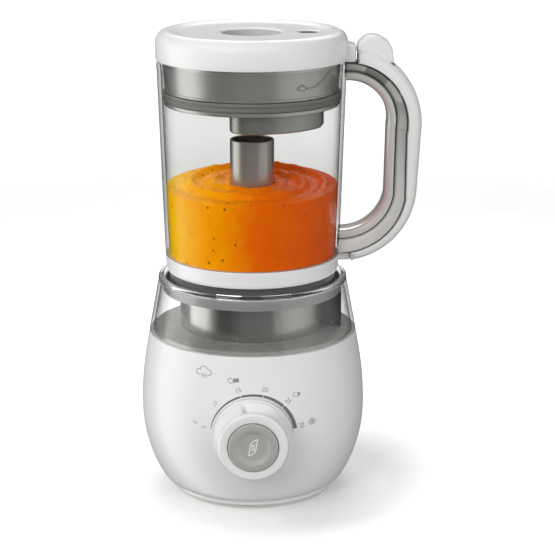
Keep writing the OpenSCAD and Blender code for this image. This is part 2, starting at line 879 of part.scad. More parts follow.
// Hollow under the inner lid that spreads the steam, with a slot in its floor.
module steam_chamber() {
    color("darkgray") difference() {
        intersection() {
            ring(51, 0, chamber_z, lid_z + 3);
            translate([-14, -60, 200]) cube([60, 80, 200]);
        }
        intersection() {
            ring(49, 0, chamber_z + 2, lid_z + 4);
            translate([-12, -60, 200]) cube([56, 78, 200]);
        }
        translate([0, -34, chamber_z - 1]) cube([30, 8, 4]);
    }
}

// Soft sealing ring between the skirt and the jar's wall.
module lid_seal() {
    color("gainsboro") rotate_extrude()
        polygon([[54.25, seal_z + 0.3], [57, seal_z + 0.3], [57.7, seal_z + 1.6], [56.8, seal_z + 2.8],
            [57.8, seal_z + 4.6], [57.4, seal_z + seal_h - 0.3], [54.25, seal_z + seal_h - 0.3]]);
}

foot_ring();
base_plate();
lower_housing();
upper_housing();
housing_screws();
cord_gland();
tank_base();
tank_shell();
jar_seat();
seat_ring();
feed_valve_box();
filler_cap();
boiler_cup();
boiler_lid();
boiler_seal();
heating_element();
thermostat();
steam_pipe();
motor_cradle();
motor_grommets();
motor_lower_bracket();
motor_upper_bracket();
stator_core();
field_coils();
motor_bolts();
motor_bearings();
carbon_brushes();
shaft_seal();
motor_shaft();
armature();
commutator();
cooling_fan();
drive_coupling();
circuit_board();
timer_body();
button_switch();
knob_bezel();
control_knob();
timer_spindle();
blend_button();
button_spring();
jar_wall();
jar_base();
jar_collar();
jar_floor();
jar_bushes();
handle_core();
handle_grip();
handle_liner();
driven_coupling();
blade_shaft();
blade_tube();
blade_ring();
lid_cover();
lid_skirt();
steam_chamber();
lid_seal();
lid_lock();
lid_lock_pin();
lock_spring();
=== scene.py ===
"""Baby food maker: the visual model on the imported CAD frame.
Metres, +Z up, knob towards -Y, handle towards +X."""
import json
import math

import bmesh
import bpy
from mathutils import Matrix, Vector, noise


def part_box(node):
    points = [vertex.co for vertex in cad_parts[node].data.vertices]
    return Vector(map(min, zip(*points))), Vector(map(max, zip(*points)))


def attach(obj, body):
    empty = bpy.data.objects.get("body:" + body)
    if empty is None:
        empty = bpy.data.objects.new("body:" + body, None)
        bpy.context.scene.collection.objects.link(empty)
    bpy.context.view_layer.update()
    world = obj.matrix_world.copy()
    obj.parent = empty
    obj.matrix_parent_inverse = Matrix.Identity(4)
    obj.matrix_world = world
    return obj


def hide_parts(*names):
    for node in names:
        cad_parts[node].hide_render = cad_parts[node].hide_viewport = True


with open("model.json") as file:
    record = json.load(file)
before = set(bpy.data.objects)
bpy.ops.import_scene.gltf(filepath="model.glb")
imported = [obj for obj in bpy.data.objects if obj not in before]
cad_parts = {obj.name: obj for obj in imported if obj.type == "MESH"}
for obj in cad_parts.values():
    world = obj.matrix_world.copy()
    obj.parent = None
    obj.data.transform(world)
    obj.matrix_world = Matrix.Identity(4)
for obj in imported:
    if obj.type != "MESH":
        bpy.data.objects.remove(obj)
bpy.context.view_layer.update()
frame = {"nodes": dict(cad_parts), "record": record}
NODES = frame["nodes"]
SLOT_OF = {p["node"]: p["material_slot"] for p in frame["record"]["subparts"]}
MM = 0.001


# ---------------------------------------------------------------- node helpers
def new_mat(name):
    m = bpy.data.materials.new(name)
    m.use_nodes = True
    nt = m.node_tree
    nt.nodes.clear()
    out = nt.nodes.new("ShaderNodeOutputMaterial")
    bsdf = nt.nodes.new("ShaderNodeBsdfPrincipled")
    nt.links.new(bsdf.outputs[0], out.inputs[0])
    return m, nt, bsdf, out


def feed(nt, node, inputs):
    """Links a socket to each named or numbered input of a node, or sets a plain value there."""
    for key, value in inputs.items():
        if isinstance(value, bpy.types.NodeSocket):
            nt.links.new(value, node.inputs[key])
        else:
            node.inputs[key].default_value = value


def noise_node(nt, scale, detail, rough, distortion=0.0, stretch=None):
    coords = nt.nodes.new("ShaderNodeTexCoord").outputs["Object"]
    if stretch:
        mapping = nt.nodes.new("ShaderNodeMapping")
        feed(nt, mapping, {0: coords, "Scale": stretch})
        coords = mapping.outputs[0]
    n = nt.nodes.new("ShaderNodeTexNoise")
    feed(nt, n, {"Vector": coords, "Scale": scale, "Detail": detail, "Roughness": rough,
                 "Distortion": distortion})
    return n.outputs["Fac"]


def ramp_node(nt, src, stops):
    """Colour ramp through (position, colour) stops."""
    r = nt.nodes.new("ShaderNodeValToRGB")
    els = r.color_ramp.elements
    while len(els) < len(stops):
        els.new(0.5)
    for e, (position, color) in zip(els, stops):
        e.position = position
        e.color = (*color, 1.0)
    nt.links.new(src, r.inputs[0])
    return r.outputs[0]


def greys(*stops):
    """Ramp stops of plain greys from (position, value) pairs."""
    return [(position, (v, v, v)) for position, v in stops]


def range_node(nt, src, from_low, from_high, to_low=0.0, to_high=1.0):
    m = nt.nodes.new("ShaderNodeMapRange")
    feed(nt, m, {0: src, 1: from_low, 2: from_high, 3: to_low, 4: to_high})
    return m.outputs[0]


def bump_node(nt, src, strength, depth, under=None):
    """Bump from a height, laid over the one under it if there is one."""
    b = nt.nodes.new("ShaderNodeBump")
    feed(nt, b, {"Height": src, "Strength": strength, "Distance": depth})
    if under is not None:
        feed(nt, b, {"Normal": under})
    return b.outputs[0]


def surface(nt, bsdf, rough_noise, rough_low, rough_high, bump_noise, strength, depth, under=None):
    """Roughness that varies with one noise, and a bump from another or the same."""
    feed(nt, bsdf, {"Roughness": range_node(nt, rough_noise, 0.3, 0.7, rough_low, rough_high),
                    "Normal": bump_node(nt, bump_noise, strength, depth, under)})


def math_node(nt, operation, *values):
    m = nt.nodes.new("ShaderNodeMath")
    m.operation = operation
    feed(nt, m, dict(enumerate(values)))
    return m.outputs[0]


def coordinates(nt, kind="Object"):
    """The place being shaded, or the direction looked in, as separate X, Y and Z outputs."""
    sep = nt.nodes.new("ShaderNodeSeparateXYZ")
    nt.links.new(nt.nodes.new("ShaderNodeTexCoord").outputs[kind], sep.inputs[0])
    return sep.outputs


def facing_node(nt):
    """0 where a face looks at the camera, 1 where it is seen edge-on."""
    weight = nt.nodes.new("ShaderNodeLayerWeight")
    weight.inputs["Blend"].default_value = 0.5
    return weight.outputs["Facing"]


def mix_colors(nt, factor, a, b, blend="MIX"):
    mix = nt.nodes.new("ShaderNodeMix")
    mix.data_type = "RGBA"
    mix.blend_type = blend
    feed(nt, mix, {0: factor, 6: a, 7: b})
    return mix.outputs[2]


def multiply(nt, a, b):
    """Product of two colours."""
    return mix_colors(nt, 1.0, a, b, "MULTIPLY")


def mix_shaders(nt, factor, first, second):
    mix = nt.nodes.new("ShaderNodeMixShader")
    feed(nt, mix, {0: factor, 1: first, 2: second})
    return mix.outputs[0]


def see_through(nt, color):
    """Transparent shader of a colour, given as a value or a socket."""
    tr = nt.nodes.new("ShaderNodeBsdfTransparent")
    feed(nt, tr, {0: color})
    return tr.outputs[0]


def lamps_through(nt, shader, color, out):
    """Puts a shader on the material, but lets the lamps shine straight through it, tinted by a colour."""
    path = nt.nodes.new("ShaderNodeLightPath")
    last = mix_shaders(nt, path.outputs["Is Shadow Ray"], shader, see_through(nt, (*color, 1)))
    nt.links.new(last, out.inputs[0])


def plastic(name, color, rough, spread=0.03, vary=0.03, grain=1400.0, grain_strength=0.08, metallic=0.0):
    """Moulded plastic: faint colour flow from the mould, roughness that varies, and a fine texture."""
    m, nt, b, _ = new_mat(name)
    low = tuple(c * (1 - vary) for c in color)
    high = tuple(min(1.0, c * (1 + vary)) for c in color)
    flow = ramp_node(nt, noise_node(nt, 14.0, 2.0, 0.5), [(0.3, low), (0.7, high)])
    feed(nt, b, {"Base Color": flow, "IOR": 1.5, "Metallic": metallic})
    surface(nt, b, noise_node(nt, 60.0, 4.0, 0.6), rough - spread, rough + spread,
            noise_node(nt, grain, 2.0, 0.5), grain_strength, 0.00004)
    return m


def metal(name, color, rough, stretch=(1, 1, 1), grain=500.0, spread=0.08):
    """Metal with a fine grain, drawn out along the axis with the small stretch."""
    m, nt, b, _ = new_mat(name)
    n = noise_node(nt, grain, 3.0, 0.6, stretch=stretch)
    dull = tuple(c * 0.86 for c in color)
    feed(nt, b, {"Base Color": ramp_node(nt, n, [(0.3, dull), (0.7, color)]), "Metallic": 1.0})
    surface(nt, b, n, rough - spread, rough + spread, n, 0.12, 0.00003)
    return m


def ripples(nt, bsdf, rough):
    """Faint flow in the surface of a clear plastic."""
    n = noise_node(nt, 26.0, 2.0, 0.5)
    surface(nt, bsdf, n, rough * 0.6, rough * 1.6, n, 0.06, 0.00006)


def clear(name, tint, edge, mirror):
    """Clear moulded plastic. Each face is a thin tinted layer, darker and shinier at a glancing angle."""
    m, nt, b, out = new_mat(name)
    feed(nt, b, {"Base Color": (0.92, 0.925, 0.92, 1), "Metallic": 1.0})
    ripples(nt, b, 0.03)
    facing = facing_node(nt)
    half = tuple((t + e) / 2 for t, e in zip(tint, edge))
    tone = ramp_node(nt, facing, [(0.0, tint), (0.62, tint), (0.86, half), (1.0, edge)])
    gloss = range_node(nt, math_node(nt, "POWER", facing, 5.0), 0.0, 1.0, mirror, 0.55)
    lamps_through(nt, mix_shaders(nt, gloss, see_through(nt, tone), b.outputs[0]), (1, 1, 1), out)
    return m


def thick_clear(name, color):
    """Clear plastic thick enough to bend what is seen through it."""
    m, nt, b, out = new_mat(name)
    feed(nt, b, {"Base Color": (*color, 1), "Transmission Weight": 1.0, "IOR": 1.46})
    ripples(nt, b, 0.015)
    lamps_through(nt, b.outputs[0], [0.5 + 0.5 * c for c in color], out)
    return m


# ---------------------------------------------------------------- mesh helpers
def eased(t):
    """Smooth rise from 0 to 1."""
    t = min(1.0, max(0.0, t))
    return t * t * (3 - 2 * t)


def outwards(bm):
    """Makes the normals of a closed mesh point outwards, its large caps cut into triangles first."""
    caps = [f for f in bm.faces if len(f.verts) > 8]
    if caps:
        bmesh.ops.triangulate(bm, faces=caps)
    bmesh.ops.recalc_face_normals(bm, faces=bm.faces)
    if bm.calc_volume(signed=True) < 0:
        bmesh.ops.reverse_faces(bm, faces=bm.faces)


def mesh_object(name, bm):
    """New object in the scene, made from a bmesh that is used up."""
    me = bpy.data.meshes.new(name)
    bm.to_mesh(me)
    bm.free()
    o = bpy.data.objects.new(name, me)
    bpy.context.scene.collection.objects.link(o)
    return o


def applied_mesh(o):
    """Copy of an object's mesh as its modifiers or its text leave it."""
    return bpy.data.meshes.new_from_object(o.evaluated_get(bpy.context.evaluated_depsgraph_get()))


def finish_mesh(name, bm, mat, body, replaced=(), smooth_angle=35.0, recalc=True):
    """Makes a piece that rides with a body, in place of the CAD nodes it replaces."""
    if recalc:
        outwards(bm)
    o = mesh_object(name, bm)
    for p in o.data.polygons:
        p.use_smooth = True
    mark_sharp(o.data, smooth_angle)
    for m in mat if isinstance(mat, list) else [mat]:
        o.data.materials.append(m)
    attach(o, body)
    if replaced:
        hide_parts(*replaced)
    return o


def mark_sharp(me, angle):
    """Marks edges sharper than angle, so that flat faces stay flat beside smooth ones."""
    bm = bmesh.new()
    bm.from_mesh(me)
    lim = math.radians(angle)
    for e in bm.edges:
        e.smooth = not (len(e.link_faces) == 2 and e.calc_face_angle(0.0) > lim)
    bm.to_mesh(me)
    bm.free()


def rounded(points, radii, seg=6):
    """Closed or open outline with its corners rounded. A radius of 0 leaves a corner as it is."""
    out = []
    n = len(points)
    for i, p in enumerate(points):
        r = radii[i] if isinstance(radii, (list, tuple)) else radii
        p = Vector((p[0], p[1]))
        a = Vector(points[i - 1][:2]) - p
        b = Vector(points[(i + 1) % n][:2]) - p
        if r <= 0 or a.length < 1e-9 or b.length < 1e-9:
            out.append((p.x, p.y))
            continue
        ang = a.angle(b)
        if ang > math.pi - 0.02:
            out.append((p.x, p.y))
            continue
        t = min(r / math.tan(ang / 2), a.length * 0.49, b.length * 0.49)
        rr = t * math.tan(ang / 2)
        c = p + (a.normalized() + b.normalized()).normalized() * (rr / math.sin(ang / 2))
        s = p + a.normalized() * t - c
        e = p + b.normalized() * t - c
        a0 = math.atan2(s.y, s.x)
        a1 = math.atan2(e.y, e.x)
        d = a1 - a0
        while d > math.pi:
            d -= 2 * math.pi
        while d < -math.pi:
            d += 2 * math.pi
        for k in range(seg + 1):
            q = a0 + d * k / seg
            out.append((c.x + rr * math.cos(q), c.y + rr * math.sin(q)))
    return out


def lathe_bm(profile, segs=160, move=None):
    """Turned solid about Z from a closed outline of (radius, height) in mm. Points on the axis are merged.
    With move, each point goes where move(x, y, z, radius) says."""
    bm = bmesh.new()
    rings = []
    for r, z in profile:
        if r < 1e-6:
            rings.append([bm.verts.new((0, 0, z * MM))] * segs)
            continue
        ring = []
        for k in range(segs):
            a = 2 * math.pi * k / segs
            x, y, height = r * math.cos(a), r * math.sin(a), z
            if move:
                x, y, height = move(x, y, height, r)
            ring.append(bm.verts.new((x * MM, y * MM, height * MM)))
        rings.append(ring)
    for ra, rb in zip(rings, rings[1:] + rings[:1]):
        for k in range(segs):
            corners = list(dict.fromkeys((ra[k], ra[(k + 1) % segs], rb[(k + 1) % segs], rb[k])))
            if len(corners) > 2:
                bm.faces.new(corners)
    return bm


def lathe(name, profile, mat, body, replaced=(), segs=160, axis="Z", at=(0, 0, 0), move=None,
          angle=35.0, cut=()):
    bm = lathe_bm(profile, segs, move=move)
    place(bm, axis, at)
    if cut:
        bm = carved(bm, cut)
    return finish_mesh(name, bm, mat, body, replaced, angle)


def place(bm, axis, at):
    """Turns a shape made about Z to another axis, then moves it by at, in mm."""
    turn = {"-Y": 90, "Z": 0, "Y": -90}[axis]
    bmesh.ops.rotate(bm, verts=bm.verts, cent=(0, 0, 0), matrix=Matrix.Rotation(math.radians(turn), 3, "X"))
    bmesh.ops.translate(bm, verts=bm.verts, vec=Vector(at) * MM)


def discard(o):
    """Removes an object and its mesh."""
    me = o.data
    bpy.data.objects.remove(o)
    bpy.data.meshes.remove(me)


def carved(bm, cutters):
    """The mesh with each cutter (a bmesh) taken away from it, by exact booleans."""
    outwards(bm)
    o = mesh_object("tmp_solid", bm)
    for cutter in cutters:
        outwards(cutter)
        tool = mesh_object("tmp_cutter", cutter)
        mod = o.modifiers.new("cut", "BOOLEAN")
        mod.operation = "DIFFERENCE"
        mod.solver = "EXACT"
        mod.object = tool
        result = applied_mesh(o)
        o.modifiers.clear()
        before, o.data = o.data, result
        bpy.data.meshes.remove(before)
        discard(tool)
    out = bmesh.new()
    out.from_mesh(o.data)
    discard(o)
    return out


def box_bm(lo, hi, bevel=0.0, seg=3):
    """Box between two corners in mm, its edges rounded."""
    bm = bmesh.new()
    bmesh.ops.create_cube(bm, size=1.0)
    for v in bm.verts:
        v.co = Vector([(lo[i] + (v.co[i] + 0.5) * (hi[i] - lo[i])) * MM for i in range(3)])
    if bevel > 0:
        bmesh.ops.bevel(bm, geom=bm.edges[:], offset=bevel * MM, segments=seg, profile=0.5, affect="EDGES")
    return bm


def quarter(seg):
    """Sine and cosine of seg + 1 angles from 0 to 90 degrees."""
    return [(math.sin(math.pi / 2 * k / seg), math.cos(math.pi / 2 * k / seg)) for k in range(seg + 1)]


def cyl_bm(r, z0, z1, axis="Z", at=(0, 0, 0), segs=96, flare=0.0, fillet=0.0):
    """Cylinder cutter. A fillet flares its upper end by a curve of that radius, up to height flare."""
    prof = [(0, z0), (r, z0), (r, z1), (0, z1)]
    if fillet > 0:
        curve = [(r + fillet - fillet * c, flare - fillet + fillet * s) for s, c in quarter(8)]
        prof = prof[:2] + curve + [(r + fillet, z1), (0, z1)]
    bm = lathe_bm(prof, segs)
    place(bm, axis, at)
    return bm


def skin(bm, rings, closed=False):
    """Quads between neighbouring rings of vertices, and back to the first ring when closed."""
    n = len(rings[0])
    for a, b in zip(rings, rings[1:] + rings[:1] if closed else rings[1:]):
        for k in range(n):
            bm.faces.new((a[k], a[(k + 1) % n], b[(k + 1) % n], b[k]))


def cap(bm, rings):
    """Faces across the first and the last ring."""
    bm.faces.new(rings[0])
    bm.faces.new(list(reversed(rings[-1])))


def outline_normals(pts, even=False):
    """Outward direction at each point of a closed outline. An even one splits the corner's angle in half."""
    n = len(pts)
    area = sum(pts[i].x * pts[(i + 1) % n].y - pts[(i + 1) % n].x * pts[i].y for i in range(n))
    normals = []
    for i in range(n):
        t = pts[(i + 1) % n] - pts[i - 1]
        if even:
            t = (pts[(i + 1) % n] - pts[i]).normalized() + (pts[i] - pts[i - 1]).normalized()
        normals.append(Vector((t.y, -t.x)).normalized() * (1 if area > 0 else -1))
    return normals


def prism_bm(outline, y0, y1):
    """Outline of (x, z) in mm swept along Y."""
    bm = bmesh.new()
    rings = [[bm.verts.new((x * MM, y * MM, z * MM)) for x, z in outline] for y in (y0, y1)]
    skin(bm, rings)
    cap(bm, rings)
    return bm


def smooth_outline(pts, per=8):
    """Closed Catmull-Rom curve through the points."""
    n = len(pts)
    out = []
    for i in range(n):
        p0, p1, p2, p3 = (Vector(pts[(i + k) % n]) for k in (-1, 0, 1, 2))
        for k in range(per):
            t = k / per
            v = 0.5 * (2 * p1 + (p2 - p0) * t + (2 * p0 - 5 * p1 + 4 * p2 - p3) * t * t
                       + (3 * p1 - p0 - 3 * p2 + p3) * t * t * t)
            out.append((v.x, v.y))
    return out


def slab_z_bm(outline, z0, z1, rim_low=0.0, rim_high=0.0, seg=5):
    """Outline of (x, y) in mm raised along Z, with its lower and upper edges rounded in."""
    pts = [Vector(p) for p in outline]
    normals = outline_normals(pts)
    stations = [(z0 + rim_low - rim_low * s, rim_low - rim_low * c) for s, c in reversed(quarter(seg))]
    stations += [(z1 - rim_high + rim_high * s, rim_high - rim_high * c) for s, c in quarter(seg)]
    bm = bmesh.new()
    rings = [[bm.verts.new(((p.x - m.x * d) * MM, (p.y - m.y * d) * MM, z * MM)) for p,
              m in zip(pts, normals)]
             for z, d in stations]
    skin(bm, rings)
    cap(bm, rings)
    bmesh.ops.remove_doubles(bm, verts=bm.verts, dist=1e-7)
    return bm


def crowned_bm(outline, rims, half, depth, seg=8, paired=False):
    """Outline of (x, z) in mm swept along Y to half on each side. Near its two sides each point draws in
    by its own rim over the same depth, which gives the bar a rounded cross-section. A paired outline runs
    along a band and back, and its sides are filled with quads across the band."""
    n = len(outline)
    pts = [Vector(p) for p in outline]
    normals = outline_normals(pts, even=True)
    stations = [(half - depth + depth * s, 1 - c) for s, c in quarter(seg)]
    stations = [(-y, d) for y, d in reversed(stations)] + stations
    bm = bmesh.new()
    rings = [[bm.verts.new(((p.x - m.x * d * r) * MM, y * MM, (p.y - m.y * d * r) * MM))
              for p, m, r in zip(pts, normals, rims)] for y, d in stations]
    skin(bm, rings)
    if paired:
        for ring in (rings[0], rings[-1]):
            for k in range(n // 2 - 1):
                bm.faces.new((ring[k], ring[k + 1], ring[n - 2 - k], ring[n - 1 - k]))
    else:
        cap(bm, rings)
    bmesh.ops.remove_doubles(bm, verts=bm.verts, dist=1e-7)
    return bm


def arc(c, r, a0, a1, n):
    """Points from angle a0 to a1, in degrees, on a circle about c."""
    return [(c[0] + r * math.cos(math.radians(a0 + (a1 - a0) * k / n)),
             c[1] + r * math.sin(math.radians(a0 + (a1 - a0) * k / n))) for k in range(n + 1)]


def lean_of(hi, lo):
    """Direction in degrees of the tangent point that the two circles share on their outer side."""
    gap = math.hypot(hi[0] - lo[0], hi[1] - lo[1])
    return math.degrees(math.atan2(lo[0] - hi[0], hi[1] - lo[1]) + math.asin((hi[2] - lo[2]) / gap))


def loop_line(hi, lo, x_top, x_low, grow=0.0, n=40, straight=8):
    """Points down the outside of the loop, from x_top on the upper circle to x_low on the lower one."""
    a = lean_of(hi, lo)
    rh, rl = hi[2] + grow, lo[2] + grow
    top = math.degrees(math.acos(max(-1, min(1, (x_top - hi[0]) / rh))))
    low = -math.degrees(math.acos(max(-1, min(1, (x_low - lo[0]) / rl))))
    up = arc(hi, rh, top, a, n)
    down = arc(lo, rl, a, low, n)
    p, q = up[-1], down[0]
    mid = [(p[0] + (q[0] - p[0]) * k / straight, p[1] + (q[1] - p[1]) * k / straight)
           for k in range(1, straight)]
    return up + mid + down


def tube_bm(points, radius, sides=8):
    """Round tube through points in metres."""
    bm = bmesh.new()
    pts = [Vector(p) for p in points]
    angles = [2 * math.pi * k / sides for k in range(sides)]
    rings = []
    up = Vector((0, 0, 1))
    for i, p in enumerate(pts):
        ahead = (pts[min(i + 1, len(pts) - 1)] - pts[max(i - 1, 0)]).normalized()
        side = ahead.cross(up).normalized()
        up = side.cross(ahead).normalized()
        rings.append([bm.verts.new(p + (side * math.cos(a) + up * math.sin(a)) * radius) for a in angles])
    skin(bm, rings)
    cap(bm, rings)
    return bm


def joined(*parts):
    """One bmesh from several."""
    out = bmesh.new()
    for b in parts:
        me = bpy.data.meshes.new("tmp_j")
        b.to_mesh(me)
        b.free()
        out.from_mesh(me)
        bpy.data.meshes.remove(me)
    return out


# ---------------------------------------------------------------- the object's dimensions, in mm
BODY_R, WAIST_Z, TANK_Z, SEAT_Z = 74.4, 58.0, 109.0, 146.6
LOW_ARC, HIGH_ARC, CONE_Z = 94.5, 215.0, 95.7
CONE_R = BODY_R - HIGH_ARC + math.sqrt(HIGH_ARC ** 2 - (CONE_Z - WAIST_Z) ** 2)
CONE_SLOPE = 0.178
SEAT_R = CONE_R - (SEAT_Z - CONE_Z) * CONE_SLOPE
JAR_Z0, JAR_Z1, JAR_R0, JAR_R1 = 161.0, 287.0, 57.2, 61.3
JAR_SLOPE = (JAR_R1 - JAR_R0) / (JAR_Z1 - JAR_Z0)
LID_Z, STEAM_X, STEAM_R = 289.0, 36.3, 7.2
KNOB_R, KNOB_D, BUTTON_R = 22.3, 94.2, 15.8
TUBE_R, TUBE_Z, TUBE_TOP = 14.4, 163.6, 236.5
WALL = 2.4
BEZEL_HOLE_R = 25.6
FOOD_GAP = 0.08


def body_r(z):
    """Outer radius of the base at height z."""
    if z <= WAIST_Z:
        return BODY_R - LOW_ARC + math.sqrt(LOW_ARC ** 2 - (z - WAIST_Z) ** 2)
    if z <= CONE_Z:
        return BODY_R - HIGH_ARC + math.sqrt(HIGH_ARC ** 2 - (z - WAIST_Z) ** 2)
    return CONE_R - (z - CONE_Z) * CONE_SLOPE


def body_line(z0, z1, inset, n):
    """Points up the base's side, drawn in by inset."""
    return [(body_r(z0 + (z1 - z0) * k / n) - inset, z0 + (z1 - z0) * k / n) for k in range(n + 1)]


def jar_r(z):
    """Outer radius of the jar's wall at height z."""
    return JAR_R0 + (z - JAR_Z0) * JAR_SLOPE


# ---------------------------------------------------------------- materials
WHITE = plastic("white_plastic_mat", (0.82, 0.822, 0.82), 0.30, spread=0.012, vary=0.006,
                grain_strength=0.015)
WHITE_SATIN = plastic("white_satin_mat", (0.78, 0.785, 0.78), 0.40, spread=0.04, vary=0.01,
                      grain_strength=0.12)
GREY = plastic("grey_plastic_mat", (0.43, 0.437, 0.411), 0.32, spread=0.02, vary=0.03, grain=1800.0,
               grain_strength=0.03, metallic=0.1)
SEAT_GREY = plastic("seat_grey_mat", (0.33, 0.335, 0.33), 0.30, spread=0.02, vary=0.03, grain_strength=0.03)


def sheen(name, color, rough, metallic, vary=0.03):
    """Fine-grained grey plastic with a metallic sheen."""
    return plastic(name, color, rough, spread=0.02, vary=vary, grain=1600.0, grain_strength=0.03,
                   metallic=metallic)


TANK_GREY = plastic("tank_grey_mat", (0.48, 0.484, 0.46), 0.20, spread=0.02, vary=0.08, grain=500.0,
                    grain_strength=0.01, metallic=0.92)
TANK_FLOOR = plastic("tank_floor_mat", (0.43, 0.435, 0.412), 0.26, spread=0.03, vary=0.05,
                     grain_strength=0.02, metallic=0.3)
GREY_TUBE = sheen("tube_grey_mat", (0.50, 0.492, 0.462), 0.26, 0.70, vary=0.04)
GREY_SKIRT = sheen("skirt_grey_mat", (0.53, 0.535, 0.505), 0.26, 0.64)
GREY_CHAMBER = sheen("chamber_grey_mat", (0.37, 0.375, 0.35), 0.28, 0.66)
SEAL = plastic("seal_grey_mat", (0.22, 0.223, 0.205), 0.42, spread=0.03, vary=0.03, grain_strength=0.04)
# Painted shade for the wall of the lid's middle recess.
RECESS_SHADE_GREY = plastic("recess_painted_shade_mat", (0.50, 0.502, 0.50), 0.40, grain_strength=0.03)
SMOKE_LIGHT = plastic("smoke_liner_mat", (0.72, 0.722, 0.70), 0.20, spread=0.03, vary=0.12, grain=700.0,
                      grain_strength=0.03, metallic=0.4)
DARK = plastic("dark_plastic_mat", (0.045, 0.047, 0.045), 0.38, spread=0.06, vary=0.08, grain_strength=0.15)
NYLON = plastic("nylon_mat", (0.66, 0.65, 0.60), 0.48, spread=0.06, vary=0.04, grain_strength=0.20)
RUBBER = plastic("black_rubber_mat", (0.022, 0.022, 0.022), 0.62, spread=0.08, vary=0.15, grain=900.0,
                 grain_strength=0.35)
SILICONE = plastic("silicone_mat", (0.62, 0.62, 0.58), 0.50, spread=0.06, vary=0.03, grain_strength=0.15)
STEEL = metal("steel_mat", (0.62, 0.62, 0.61), 0.30, stretch=(1.0, 1.0, 12.0))
HEATER = metal("heater_sheath_mat", (0.21, 0.21, 0.20), 0.52, grain=900.0)
CORE_STEEL = metal("core_steel_mat", (0.15, 0.16, 0.18), 0.45, stretch=(0.4, 0.4, 30.0))
COPPER = metal("copper_mat", (0.72, 0.34, 0.16), 0.32, stretch=(3.0, 3.0, 22.0))
CARBON = plastic("carbon_mat", (0.03, 0.03, 0.032), 0.55, spread=0.08, vary=0.25, grain=2400.0,
                 grain_strength=0.4)
BRONZE = metal("bronze_mat", (0.55, 0.38, 0.18), 0.42, grain=1500.0)
CIRCUIT = plastic("circuit_green_mat", (0.02, 0.16, 0.07), 0.40, spread=0.06, vary=0.5, grain_strength=0.3)
CLEAR = clear("clear_plastic_mat", (0.94, 0.943, 0.938), (0.42, 0.425, 0.41), mirror=0.045)
CLEAR_RIM = thick_clear("clear_rim_mat", (0.93, 0.935, 0.925))
CLEAR_JAR = clear("clear_jar_mat", (0.898, 0.901, 0.898), (0.42, 0.425, 0.42), mirror=0.005)


def ink(name, color):
    return plastic(name, color, 0.35, spread=0.04, vary=0.05, grain_strength=0.05)


INK_DARK = ink("ink_grey_mat", (0.16, 0.165, 0.165))
INK_MID = ink("ink_mid_mat", (0.27, 0.275, 0.275))
INK_LIGHT = ink("ink_light_mat", (0.40, 0.405, 0.405))
INK_WHITE = ink("ink_white_mat", (0.86, 0.865, 0.86))


def smoke_material():
    """Smoky translucent plastic with dark patches near the top and two faint joint lines. It is paler low
    down, which is painted light: brighter towards the bottom, darker towards the top.
    """
    m, nt, b, out = new_mat("smoke_plastic_mat")
    n = noise_node(nt, 30.0, 3.0, 0.6, stretch=(1, 1, 0.35))
    flow = ramp_node(nt, n, [(0.3, (0.76, 0.765, 0.725)), (0.7, (0.98, 0.985, 0.94))])
    height = coordinates(nt)["Z"]
    # Painted light: the colour grows paler towards the bottom and darker towards the top. The same ramp holds
    # a faint dark joint line.
    rise = ramp_node(nt, range_node(nt, height, 0.16, 0.29),
                     greys((0.0, 1.0), (0.3, 0.92), (0.6, 0.62), (0.637, 0.62), (0.643, 0.42), (0.649, 0.60),
                           (1.0, 0.56)))
    patch = ramp_node(nt, noise_node(nt, 62.0, 1.0, 0.4, stretch=(1.0, 0.3, 1.0)),
                      [(0.50, (1.0, 1.0, 1.0)), (0.56, (0.42, 0.42, 0.40))])
    high = mix_colors(nt, range_node(nt, height, 0.250, 0.266), (1, 1, 1, 1), patch)
    facing = facing_node(nt)
    side = ramp_node(nt, facing,
                     [(0.12, (1.0, 1.0, 1.0)), (0.45, (0.60, 0.60, 0.58)), (0.80, (0.16, 0.16, 0.15))])
    feed(nt, b, {"Base Color": multiply(nt, multiply(nt, flow, rise), multiply(nt, high, side)), "IOR": 1.5,
                 "Coat Weight": 0.3, "Coat Roughness": 0.04})
    surface(nt, b, n, 0.10, 0.18, noise_node(nt, 90.0, 2.0, 0.5), 0.15, 0.00006)
    thin = see_through(nt, (0.62, 0.63, 0.60, 1))
    nt.links.new(mix_shaders(nt, range_node(nt, facing, 0.0, 0.8, 0.72, 1.0), thin, b.outputs[0]),
                 out.inputs[0])
    return m


SMOKE = smoke_material()
MAT_OF_SLOT = {
    "white_plastic": WHITE, "grey_plastic": GREY, "clear_plastic": CLEAR, "smoke_plastic": SMOKE,
    "dark_plastic": DARK, "nylon": NYLON, "black_rubber": RUBBER, "silicone": SILICONE, "steel": STEEL,
    "heater_sheath": HEATER, "core_steel": CORE_STEEL, "copper": COPPER, "carbon": CARBON, "bronze": BRONZE,
    "circuit_green": CIRCUIT,
}


def cad(node, mat):
    """Gives a CAD node, shown as it is, its material."""
    NODES[node].data.materials.clear()
    NODES[node].data.materials.append(mat)


# Every CAD node gets the material of its slot. Those that stay hidden inside need nothing more.
for node_name in NODES:
    cad(node_name, MAT_OF_SLOT[SLOT_OF[node_name]])


